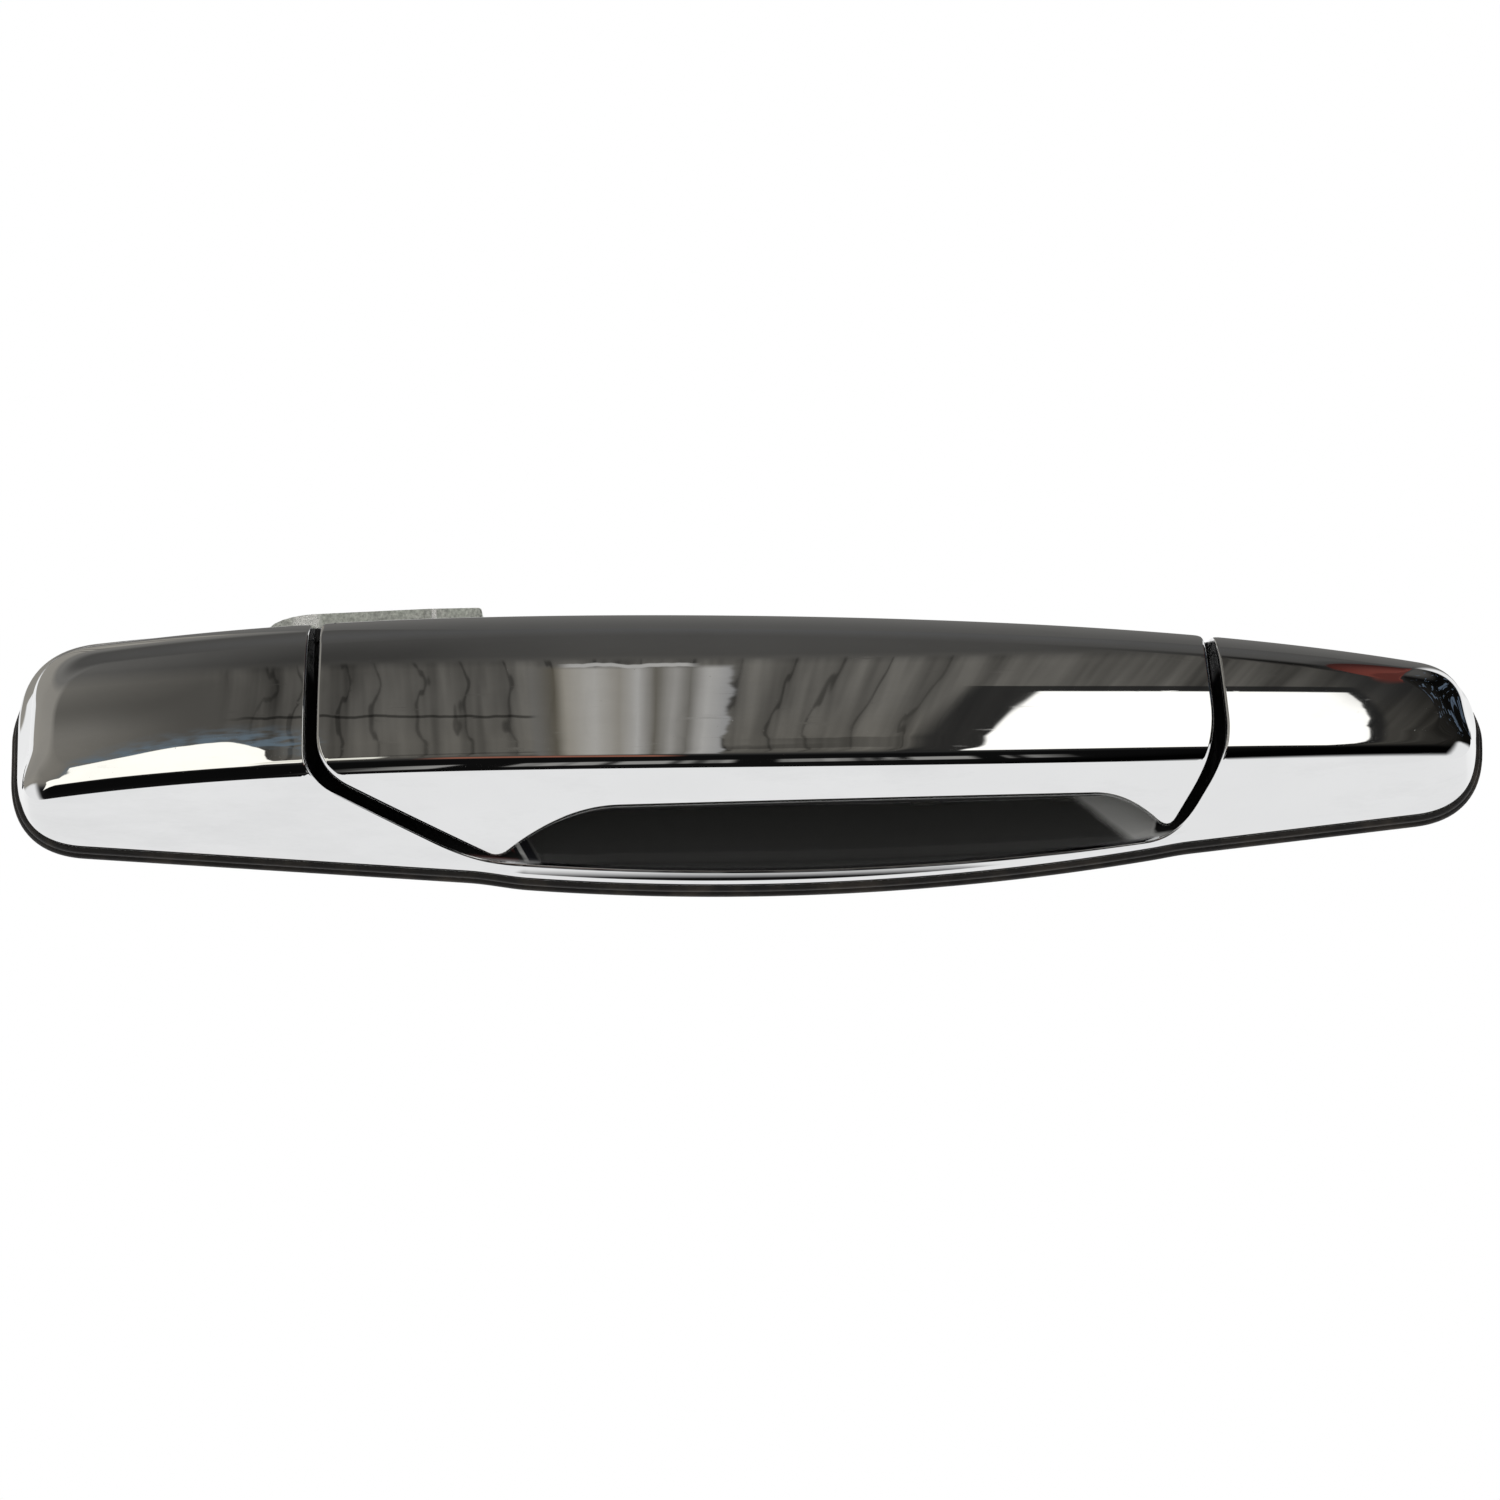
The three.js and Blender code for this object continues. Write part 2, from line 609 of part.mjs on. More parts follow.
for (const [side, x, y] of BUMPERS) {
  const bumper = post(x, y, 4.5, BUMPER_SEAT + GAP, 3).add(post(x, y, 3.4, 2.9, 4.6));
  add("stop_bumper_" + side, bumper, ...RUBBER);
}

// ---------------------------------------------------------------- paddle hinge
add("hinge_pin", rod(-80.6, 85.6, HINGE_UP, HINGE_LIFT, PIN_R), ...STEEL);

for (const [side, x0, x1] of [["left", -78.5, -74.3], ["right", 79.8, 83.5]]) {
  const sleeve = rod(x0, x1, HINGE_UP, HINGE_LIFT, 3.2);
  const bore = rod(x0 - 1, x1 + 1, HINGE_UP, HINGE_LIFT, PIN_R + FIT);
  add("hinge_bushing_" + side, sleeve.subtract(bore), ...BLACK_NYLON);
}

for (const [side, x0, x1] of [["left", -79.6, -78.8], ["right", 83.8, 84.6]]) {
  const ring = rod(x0, x1, HINGE_UP, HINGE_LIFT, 3.7);
  const bore = rod(x0 - 1, x1 + 1, HINGE_UP, HINGE_LIFT, PIN_R + FIT);
  const mouthCut = block(x0 - 1, x1 + 1, HINGE_UP - 5, HINGE_UP, HINGE_LIFT - 1.3, HINGE_LIFT + 1.3);
  add("hinge_clip_" + side, ring.subtract(bore).subtract(mouthCut), ...SPRING_STEEL);
}

// Wound about +Z, then laid along the pin: its long leg goes back to the pan, the short one under the liner.
function paddleSpring() {
  const line = springLine(3.4, 0.7, 4.25, Math.PI / 2, [16, 9]);
  const points = line.map((p) => new THREE.Vector3(
    -64 + p.z,
    HINGE_UP + p.y,
    HINGE_LIFT - p.x,
  ));
  return wire(points, 0.7);
}
add("paddle_spring", paddleSpring(), ...SPRING_STEEL);

// ---------------------------------------------------------------- chassis
function roundedPlate(points, radius) {
  const shape = new THREE.Shape();
  const n = points.length;
  points.forEach((p, i) => {
    const before = points[(i + n - 1) % n];
    const after = points[(i + 1) % n];
    const inTo = p.clone().lerp(before, radius / p.distanceTo(before));
    const outOf = p.clone().lerp(after, radius / p.distanceTo(after));
    if (i === 0) shape.moveTo(inTo.x, inTo.y);
    else shape.lineTo(inTo.x, inTo.y);
    shape.quadraticCurveTo(p.x, p.y, outOf.x, outOf.y);
  });
  return shape;
}
const corner = (x, y) => new THREE.Vector2(x, y);

function chassis() {
  const plate = [
    corner(-101, -15), corner(-45, -17), corner(66, -15), corner(102, -9.5),
    corner(102, 16), corner(40, 20), corner(-30, 20.5), corner(-66, 25), corner(-88, 25), corner(-101, 8),
  ];
  let body = slab(roundedPlate(plate, 4), CHASSIS_BACK, CHASSIS_FRONT, 4);
  body = body.add(block(-30, 66, -14, -12, -21, -14)); // stiffening flange along the foot
  body = body.add(block(-28, 58, 17, 19, -21, -14));
  body = body.add(post(CRANK.x, CRANK.up, 6, CRANK.front + GAP, CHASSIS_BACK + 0.5));
  body = body.add(block(-80.5, -73.5, -2, 0.4, -28, -14)); // tab for the bellcrank spring
  body = body.subtract(post(CRANK.x, CRANK.up, CRANK.pinR + FIT, -30, 0, 32));
  body = body.subtract(block(-53, -35, -6, 22.3, -30, 0));
  body = body.subtract(slab(roundedPlate([corner(-8, -9), corner(20, -9), corner(20, 8), corner(-8, 8)], 4),
    -30, 0, 3));
  body = body.subtract(slab(roundedPlate([corner(44, -8), corner(84, -8), corner(84, 8), corner(44, 8)], 4),
    -30, 0, 3));
  for (const [x, y] of CHASSIS_SCREWS) body = body.subtract(post(x, y, 2.2, -30, 0, 16));
  return body;
}
add("chassis", chassis(), ...ZINC_CAST);

CHASSIS_SCREWS.forEach(([x, y], i) => {
  const seat = CHASSIS_BACK - GAP;
  const tip = Math.abs(x) < 80 ? -5 : -2.4;
  const screw = post(x, y, 4, seat - 2.2, seat, 20).add(post(x, y, 1.8, seat - 1, tip, 12));
  const drive = post(x, y, 1.6, seat - 3, seat - 1, 6);
  add("chassis_screw_" + (i + 1), screw.subtract(drive), ...STEEL);
});

// ---------------------------------------------------------------- bellcrank
// A lever arm between two places, tapering from half width w0 to w1.
function arm(x0, y0, w0, x1, y1, w1, low, high) {
  const along = corner(x1 - x0, y1 - y0).normalize();
  const side = corner(-along.y, along.x);
  const shape = new THREE.Shape([
    corner(x0 + side.x * w0, y0 + side.y * w0),
    corner(x0 - side.x * w0, y0 - side.y * w0),
    corner(x1 - side.x * w1, y1 - side.y * w1),
    corner(x1 + side.x * w1, y1 + side.y * w1),
  ]);
  return slab(shape, low, high);
}

function bellcrank() {
  const { x, up, front, back } = CRANK;
  let body = post(x, up, CRANK.hubR, back, front);
  body = body.add(arm(x, up, 4.5, CRANK_FOOT.x, CRANK_FOOT.up, 2, -22, -17.5));
  body = body.add(post(CRANK_FOOT.x, CRANK_FOOT.up, CRANK_FOOT.r, -22, -16.5));
  body = body.add(arm(x, up, 6, ROD_HOLE.x, ROD_HOLE.up, 4.5, -22, -17.5));
  body = body.add(post(ROD_HOLE.x, ROD_HOLE.up, 5.2, -22, -17.5));
  body = body.add(arm(x, up, 7, x, 30, 10, -22, -17.5));
  const weight = new THREE.Shape();
  weight.moveTo(-90, 24);
  weight.lineTo(-53.5, 24);
  weight.lineTo(-53.5, 33.4);
  weight.quadraticCurveTo(-53.5, 34.3, -54.4, 34.3);
  weight.lineTo(-64, 34.1);
  weight.lineTo(-87, 33);
  weight.bezierCurveTo(-91, 32.8, -96.4, 31.4, -96.4, 29);
  weight.bezierCurveTo(-96.4, 26, -94, 24, -90, 24);
  body = body.add(slab(weight, -22.6, front, 6));
  body = body.add(block(-65, -53.9, 24.6, 33.9, -17, front + 0.7));
  body = body.add(post(-86, 20, 1.6, -26.5, -21, 12)); // stop for the spring's leg
  body = body.subtract(post(x, up, CRANK.boreR + FIT, -40, 0));
  return body.subtract(post(ROD_HOLE.x, ROD_HOLE.up, ROD_HOLE.r, -40, 0, 24));
}
add("bellcrank", bellcrank(), ...ZINC_CAST);

add(
  "bellcrank_bushing",
  post(CRANK.x, CRANK.up, CRANK.boreR, CRANK.back, CRANK.front)
    .subtract(post(CRANK.x, CRANK.up, CRANK.pinR + FIT, -40, 0, 32)),
  ...BLACK_NYLON,
);
add("bellcrank_pin", post(CRANK.x, CRANK.up, CRANK.pinR, -30.5, CHASSIS_FRONT - GAP, 32), ...STEEL);
add(
  "bellcrank_clip",
  post(CRANK.x, CRANK.up, 5.4, -29.8, -28.8)
    .subtract(post(CRANK.x, CRANK.up, CRANK.pinR + FIT, -40, 0, 32))
    .subtract(block(CRANK.x + 2, CRANK.x + 8, CRANK.up - 1.6, CRANK.up + 1.6, -40, 0)),
  ...SPRING_STEEL,
);

function bellcrankSpring() {
  const line = springLine(5.4, 0.75, 2.1, Math.PI, [14.5, 7]);
  const points = line.map((p) => new THREE.Vector3(CRANK.x + p.x, CRANK.up + p.y, -24.1 - p.z));
  return wire(points, 0.75);
}
add("bellcrank_spring", bellcrankSpring(), ...SPRING_STEEL);

function rodClip() {
  const { x, up, r } = ROD_HOLE;
  let body = post(x, up, r - FIT, -23, -16.8, 24);
  body = body.add(post(x, up, 3.7, -17.2, -15.7, 20));
  body = body.add(block(x - 4.5, x + 4.5, 2, 17, -27.5, -22.3));
  return body.subtract(block(x - 2.1, x + 2.1, 0, 19, -29, -24.4));
}
add("rod_clip", rodClip(), 0xd9d4c4, 0.5, 0);

// ---------------------------------------------------------------- studs and nuts
for (const [side, x] of [["left", -STUD_X], ["right", STUD_X]]) {
  const stud = post(x, 0, STUD_R, STUD_TIP + 1, 13.7).add(post(x, 0, STUD_R - 0.6, STUD_TIP, STUD_TIP + 1.5));
  add("mounting_stud_" + side, stud, ...STEEL);
  const nut = post(x, 0, 7.1, -3, -1.4).add(post(x, 0, 5.7, -7.6, -2.5, 6));
  add("flange_nut_" + side, nut.subtract(post(x, 0, STUD_R + FIT, -40, 10)), ...STEEL);
}

// ---------------------------------------------------------------- the whole handle
// Turned so that the panel's "up" is +Z and its lift points to -Y.
const group = new THREE.Group();
group.name = "door_handle";
for (const mesh of pieces) {
  mesh.geometry.rotateX(Math.PI / 2);
  group.add(mesh);
}

export default group;
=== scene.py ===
"""Lift-up car door handle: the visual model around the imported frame, laid out as an add-on.

Lengths inside the surface functions are millimetres in the panel's own frame: x along the handle,
y up, and lift out of the door skin. `place` turns them into the frame's metres.
"""
import json
import math

import bpy
import numpy as np
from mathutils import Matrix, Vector
from mathutils.geometry import delaunay_2d_cdt


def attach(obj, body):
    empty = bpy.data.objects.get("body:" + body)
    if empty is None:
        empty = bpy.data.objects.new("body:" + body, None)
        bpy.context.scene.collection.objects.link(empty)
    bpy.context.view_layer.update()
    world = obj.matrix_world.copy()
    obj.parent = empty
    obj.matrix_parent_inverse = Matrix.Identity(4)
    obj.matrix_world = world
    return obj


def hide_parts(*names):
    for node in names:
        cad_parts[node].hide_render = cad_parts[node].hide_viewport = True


bl_info = {
    "name": "Lift-up door handle",
    "version": (1, 0, 0),
    "blender": (4, 5, 0),
    "location": "View3D > Sidebar > Handle",
    "description": "Builds a plated lift-up car door handle round its packed frame",
    "category": "Object",
}

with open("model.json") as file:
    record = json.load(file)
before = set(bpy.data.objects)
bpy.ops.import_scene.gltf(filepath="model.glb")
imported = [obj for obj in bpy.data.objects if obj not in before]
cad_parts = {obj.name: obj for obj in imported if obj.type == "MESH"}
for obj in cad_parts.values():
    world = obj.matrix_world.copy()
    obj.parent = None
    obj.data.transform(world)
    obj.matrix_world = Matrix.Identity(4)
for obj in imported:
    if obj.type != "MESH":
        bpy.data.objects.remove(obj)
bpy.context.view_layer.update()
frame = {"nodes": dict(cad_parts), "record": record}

MM = 0.001

# sizes on the panel, in millimetres
LEFT_END = -142.4
RIGHT_END = 141.3
BAR_LEFT = -139.2
BAR_RIGHT = 138.3
TOP_DRAFT = 0.9
FLANGE_BACK = 3.5
FLANGE_FRONT = 6.0
CROWN = 31.0
SKIN = 2.5
SEAM_GAP = 2.2
SEAM_LEFT_X = -83.7
PAN_FLOOR = -9.0
PAN_WALL = 2.4
PADDLE_RIM = 15.5
PADDLE_SKIN = 2.6
HINGE_UP = 15.0
HINGE_LIFT = 13.0
STUD_X = 115.0

# distances from a plated edge at which its roll is given a ring of points
EDGE_STEPS = [0.015, 0.06, 0.14, 0.25, 0.4, 0.58, 0.8, 1.15]

# the depth given to vertices that no plating reaches
WELL_BEHIND = 9.0

# metres across the camera's view, at the handle
VIEW_WIDTH = 0.2889


# ------------------------------------------------------------------ small maths
def smoothstep(low, high, v):
    """0 at low, 1 at high, with a soft start and end."""
    t = np.clip((v - low) / (high - low), 0.0, 1.0)
    return t * t * (3.0 - 2.0 * t)


def lerp(a, b, t):
    return a + (b - a) * t


def blend_min(a, b, k):
    """The lesser of two distances, with the corner between them rounded over a width k."""
    h = np.maximum(k - np.abs(a - b), 0.0) / k
    return np.minimum(a, b) - h * h * k / 4.0


def edge_drop(d, r):
    """Drop of a rounded edge of radius r at distance d inside the edge."""
    inside = np.clip(d, 0.0, r)
    return r - np.sqrt(np.maximum(r * r - (r - inside) ** 2, 0.0))


# ------------------------------------------------------------------ the lines of the face
def top_line(x):
    s = x / 100.0
    return 26.0 - 1.55 * s - 2.5 * s**2 - 0.8 * s**4


def crease_line(x):
    s = x / 100.0
    return -5.8 + 1.1 * s + 1.17 * s**2 + s**3 - 0.83 * s**4


def lip_line(x):
    s = x / 100.0
    return -22.3 + 0.9 * s + 8.6 * s**2


def bottom_line(x):
    s = x / 100.0
    left_wing = -25.5 - 6.4 * s
    right_wing = -26.6 + 12.1 * s
    middle = -24.65 + 1.4 * s + 9.9 * s * s
    with_left = lerp(left_wing, middle, smoothstep(-55.0, -43.0, x))
    return lerp(with_left, right_wing, smoothstep(78.0, 88.0, x))


def scoop_line(x):
    s = x / 100.0
    left_fall = 0.0143 * np.maximum(0.0, -25.0 - x) ** 2
    right_fall = 0.0277 * np.maximum(0.0, x - 66.0) ** 2
    return -11.06 + 2.47 * s + 0.93 * s * s - left_fall - right_fall


def left_seam(x, y, out):
    return x - SEAM_LEFT_X + out


def left_slant(x, y, out):
    return (x + 80.0) * 0.3856 + (y + 8.0) * 0.9226 + out


def right_seam(x, y, out):
    return (89.2 - x) * 0.9956 - (y - 9.9) * 0.0932 + out


def right_slant(x, y, out):
    return (90.1 - x) * 0.848 + (y + 1.9) * 0.53 + out


# ------------------------------------------------------------------ outlines as distance functions
def plate_outline(x, y):
    up = top_line(x) + TOP_DRAFT - y
    down = y - bottom_line(x)
    left = x - LEFT_END
    right = RIGHT_END - x
    upper = np.minimum(blend_min(up, left, 15.0), blend_min(up, right, 12.0))
    lower = np.minimum(blend_min(down, left, 13.0), blend_min(down, right, 12.0))
    return np.minimum(upper, lower)


def bar_outline(x, y):
    up = top_line(x) - y
    down = y - crease_line(x)
    left = x - BAR_LEFT
    right = BAR_RIGHT - x
    upper = np.minimum(blend_min(up, left, 11.0), blend_min(up, right, 9.0))
    lower = np.minimum(blend_min(down, left, 4.0), blend_min(down, right, 4.0))
    return np.minimum(upper, lower)


def mouth_outline(x, y, wall=0.0, open_top=False):
    """The mouth that the paddle sits in, grown by wall; with open_top it runs out past the top edge."""
    out = SEAM_GAP / 2.0 + wall
    thin = wall * 0.55
    left = left_seam(x, y, out)
    left_low = left_slant(x, y, out)
    right = right_seam(x, y, out)
    right_low = right_slant(x, y, out)
    lip = y - lip_line(x) + thin
    up = 40.0 - y if open_top else top_line(x) - 1.7 + thin - y
    d = np.minimum(blend_min(up, left, 2.0), blend_min(left, left_low, 5.0))
    d = np.minimum(d, np.minimum(blend_min(left_low, lip, 2.5), blend_min(lip, right_low, 5.0)))
    return np.minimum(d, np.minimum(blend_min(right_low, right, 4.0), blend_min(right, up, 2.0)))


def paddle_outline(x, y, inset=0.0):
    out = -SEAM_GAP / 2.0 - inset
    left = left_seam(x, y, out)
    left_low = left_slant(x, y, out)
    right = right_seam(x, y, out)
    right_low = right_slant(x, y, out)
    scoop = (y - scoop_line(x)) * 0.94 - inset
    up = top_line(x) + 0.25 - y - inset
    d = np.minimum(blend_min(up, left, 2.0), blend_min(left, left_low, 6.0))
    d = np.minimum(d, np.minimum(blend_min(left_low, scoop, 2.0), blend_min(scoop, right_low, 3.0)))
    return np.minimum(d, np.minimum(blend_min(right_low, right, 5.0), blend_min(right, up, 2.0)))


# ------------------------------------------------------------------ surfaces as lift over the panel
def bar_face(x, y):
    """The bar's crown, bowed along the handle and a little across it."""
    return CROWN - 5.5 * (x / 100.0) ** 2 - 0.0125 * (y - crease_line(x) - 7.5) ** 2


def roll_drop(d, up):
    """Drop of the bar's edge: a shallow roll along the crease, a deep round along the top and the ends."""
    shallow = 0.117 * np.maximum(3.0 - np.maximum(d, 0.0), 0.0) ** 2
    return lerp(shallow, 1.3 * edge_drop(d, 6.0), smoothstep(3.0, 12.0, up))


def skirt_share(x, y):
    """0 on the plate's outline, 1 where the bar begins."""
    plate = np.maximum(plate_outline(x, y), 0.0)
    bar = np.minimum(bar_outline(x, y), 0.0)
    return plate / np.maximum(plate - bar, 1e-9)


def plate_face(x, y, inset=0.0):
    bar = bar_outline(x, y) - inset
    face = bar_face(x, y) - inset - roll_drop(bar, y - crease_line(x))
    plate = np.maximum(plate_outline(x, y) - inset, 0.0)
    share = plate / np.maximum(plate - np.minimum(bar, 0.0), 1e-9)
    rim = FLANGE_FRONT - inset
    return np.where(bar >= 0.0, face, rim + (face - rim) * share)


def pan_face(x, y, wall=0.0):
    """Steep sides and top, and a long straight slope up to the finger lip."""
    out = SEAM_GAP / 2.0 + wall
    thin = wall * 0.55

    def side(d):
        return np.clip(1.0 - d / 5.0, 0.0, 1.0) ** 2

    u = np.sqrt(
        side(left_seam(x, y, out))
        + side(left_slant(x, y, out))
        + side(right_seam(x, y, out))
        + side(right_slant(x, y, out))
        + side(top_line(x) - 1.7 + thin - y)
    )
    floor = PAN_FLOOR - SKIN if wall > 0.0 else PAN_FLOOR
    edge = FLANGE_BACK if wall > 0.0 else 7.0 - 2.5 * smoothstep(-22.0, -15.0, y)
    tub = floor + (edge - floor) * (1.0 - np.sqrt(1.0 - np.minimum(u, 1.0) ** 2))
    beyond = -blend_min(0.0, crease_line(x) - 1.5 - y, 2.5)
    slope = (FLANGE_BACK if wall > 0.0 else 7.0) - 0.35 * (y - lip_line(x) + thin) - 0.75 * beyond
    return -blend_min(-tub, -slope, 4.0)


# ------------------------------------------------------------------ mesh making
def place(points):
    """Panel millimetres to the frame's metres: lift points to -Y and up to +Z."""
    p = np.asarray(points, dtype=float)
    return np.stack([p[:, 0], -p[:, 2], p[:, 1]], axis=1) * MM


def slopes(f, x, y, step=2e-3):
    fx = (f(x + step, y) - f(x - step, y)) / (2 * step)
    fy = (f(x, y + step) - f(x, y - step)) / (2 * step)
    return fx, fy


def settle(f, x, y, level=0.0, rounds=4):
    """Moves points along the slope of f until f is at the level."""
    for _ in range(rounds):
        fx, fy = slopes(f, x, y)
        move = (level - f(x, y)) / np.maximum(fx * fx + fy * fy, 1e-6)
        move = np.clip(move, -3.0, 3.0)
        x, y = x + fx * move, y + fy * move
    return x, y


def contour(f, start, step=0.8):
    """The closed line where f is zero, found to the left of start and followed round."""
    x, y = float(start[0]), float(start[1])
    while f(x, y) > 0:
        x -= 0.5
    x, y = settle(f, x, y)
    points = [(x, y)]
    for i in range(4000):
        fx, fy = slopes(f, x, y)
        size = math.hypot(fx, fy)
        x, y = settle(f, x + fy / size * step, y - fx / size * step, rounds=2)
        if i > 5 and math.hypot(x - points[0][0], y - points[0][1]) < step * 0.9:
            break
        points.append((float(x), float(y)))
    return np.array(points)


def levels(f, loop, at):
    """Copies of a loop moved on to other levels of f, one after the other."""
    loops = []
    x, y = loop[:, 0], loop[:, 1]
    for level in at:
        x, y = settle(f, x, y, level, rounds=6)
        loops.append(np.stack([x, y], axis=1))
    return loops


class Net:
    """Points and lines on the panel, made into triangles that keep to the lines."""

    def __init__(self):
        self.points = []
        self.lines = []

    def loop(self, points, closed=True):
        base = len(self.points)
        n = len(points)
        self.points.extend(map(tuple, points))
        last = n if closed else n - 1
        self.lines.extend((base + i, base + (i + 1) % n) for i in range(last))

    def scatter(self, points):
        self.points.extend(map(tuple, points))

    def triangles(self, keep):
        verts, _, faces, *_ = delaunay_2d_cdt(
            [Vector((float(a), float(b))) for a, b in self.points], self.lines, [], 0, 2e-3, False
        )
        xy = np.array([(v.x, v.y) for v in verts])
        tris = np.array([f for f in faces if len(f) == 3], dtype=int)
        middle = xy[tris].mean(axis=1)
        tris = tris[keep(middle[:, 0], middle[:, 1])]
        a, b, c = xy[tris[:, 0]], xy[tris[:, 1]], xy[tris[:, 2]]
        area = (b[:, 0] - a[:, 0]) * (c[:, 1] - a[:, 1]) - (b[:, 1] - a[:, 1]) * (c[:, 0] - a[:, 0])
        tris = tris[np.abs(area) > 1e-7]
        flip = area[np.abs(area) > 1e-7] < 0
        tris[flip] = tris[flip][:, ::-1]
        used = np.unique(tris)
        lookup = np.full(len(xy), -1)
        lookup[used] = np.arange(len(used))
        return xy[used], lookup[tris]


def surface_normal(f, x, y):
    fx, fy = slopes(f, x, y)
    n = np.stack([-fx, -fy, np.ones_like(fx)], axis=1)
    return n / np.linalg.norm(n, axis=1)[:, None]


class Body:
    """Vertices, faces and corner normals gathered from closed solids; a zero normal is left to the mesh."""

    def __init__(self):
        self.verts = []
        self.faces = []
        self.normals = []
        self.depth = []
        self.count = 0

    def add(self, verts, faces, normals=None, depth=None):
        self.verts.append(np.asarray(verts, dtype=float))
        self.depth.append(np.full(len(verts), WELL_BEHIND) if depth is None else depth)
        for i, face in enumerate(faces):
            self.faces.append([int(v) + self.count for v in face])
            self.normals.extend([(0.0, 0.0, 0.0)] * len(face) if normals is None else normals[i])
        self.count += len(verts)

    def sheet(self, xy, tris, zones_of, fronts, back, wall_slope, depth_of=None):
        """A closed solid: zones of front surface over the triangles, one back surface, walls between.

        Each vertex keeps its depth under the outer face, so the plating can fade out in the gaps to
        near-black, as painted shade.
        """
        x, y = xy[:, 0], xy[:, 1]
        n = len(xy)
        zone = zones_of(x, y)
        lift = np.zeros(n)
        for k, f in enumerate(fronts):
            lift[zone == k] = f(x[zone == k], y[zone == k])
        low = np.minimum(back(x, y), lift - 0.4)
        verts = np.concatenate([np.stack([x, y, lift], axis=1), np.stack([x, y, low], axis=1)])
        tz = zone[tris]
        mixed = (tz[:, 0] != tz[:, 1]) | (tz[:, 1] != tz[:, 2])
        wx, wy = slopes(wall_slope, x, y)
        level = np.stack([wx, wy, np.zeros(n)], axis=1)
        level /= np.maximum(np.linalg.norm(level, axis=1), 1e-9)[:, None]
        normal = [surface_normal(f, x, y) for f in fronts]
        faces, corner = [], []
        for t, is_wall, k in zip(tris, mixed, tz[:, 0]):
            faces.append(t)
            corner.append([tuple(level[v]) for v in t] if is_wall else [tuple(normal[k][v]) for v in t])
        for t in tris:
            faces.append([t[0] + n, t[2] + n, t[1] + n])
            corner.append([(0.0, 0.0, 0.0)] * 3)
        edges = {}
        for t in tris:
            for a, b in ((t[0], t[1]), (t[1], t[2]), (t[2], t[0])):
                edges[(int(a), int(b))] = True
        for a, b in edges:
            if (b, a) in edges:
                continue
            faces.append([b, a, a + n, b + n])
            side = np.array([xy[b][1] - xy[a][1], xy[a][0] - xy[b][0], 0.0])
            side /= max(np.linalg.norm(side), 1e-9)
            corner.append([tuple(side)] * 4)
        top = np.zeros(n) if depth_of is None else depth_of(x, y, lift)
        self.add(verts, faces, corner, np.concatenate([top, top + lift - low]))

    def ring(self, path, out, section):
        """A closed section swept round a closed path: (outward, lift) pairs, outward a value or a list."""
        n, m = len(path), len(section)
        loops = [(path + out * np.reshape(o, (-1, 1)), np.full(n, z)) for o, z in section]
        verts = np.concatenate([np.column_stack(loop) for loop in loops])
        faces = []
        for j in range(m):
            for i in range(n):
                a, b = j * n + i, j * n + (i + 1) % n
                c, d = ((j + 1) % m) * n + (i + 1) % n, ((j + 1) % m) * n + i
                faces.append([a, b, c, d])
        self.add(verts, faces)

    def turned(self, centre, axis, profile, sides=32):
        """A closed turned piece: profile holds (along, radius) pairs from one end to the other."""
        axis_v = Vector(axis).normalized()
        u = axis_v.orthogonal().normalized()
        w = axis_v.cross(u)
        verts = []
        for along, radius in profile:
            for k in range(sides):
                a = 2 * math.pi * k / sides
                verts.append(Vector(centre) + axis_v * along + (u * math.cos(a) + w * math.sin(a)) * radius)
        faces = []
        m = len(profile)
        for j in range(m - 1):
            for k in range(sides):
                k2 = (k + 1) % sides
                faces.append([j * sides + k, j * sides + k2, (j + 1) * sides + k2, (j + 1) * sides + k])
        faces.append(list(range(sides - 1, -1, -1)))
        faces.append([(m - 1) * sides + k for k in range(sides)])
        self.add(np.array([tuple(v) for v in verts]), faces)

    def make(self, name, material, sharp=32.0):
        mesh = bpy.data.meshes.new(name)
        mesh.from_pydata(place(np.concatenate(self.verts)).tolist(), [], self.faces)
        mesh.update()
        mesh.shade_smooth()
        mesh.set_sharp_from_angle(angle=math.radians(sharp))
        n = np.array(self.normals)
        turned = np.stack([n[:, 0], -n[:, 2], n[:, 1]], axis=1)
        mesh.normals_split_custom_set(turned.tolist())
        mesh.attributes.new("depth", "FLOAT", "POINT").data.foreach_set("value", np.concatenate(self.depth))
        obj = bpy.data.objects.new(name, mesh)
        bpy.context.scene.collection.objects.link(obj)
        mesh.materials.append(material)
        return obj


def one_zone(x, y):
    return np.zeros(np.shape(x), dtype=int)


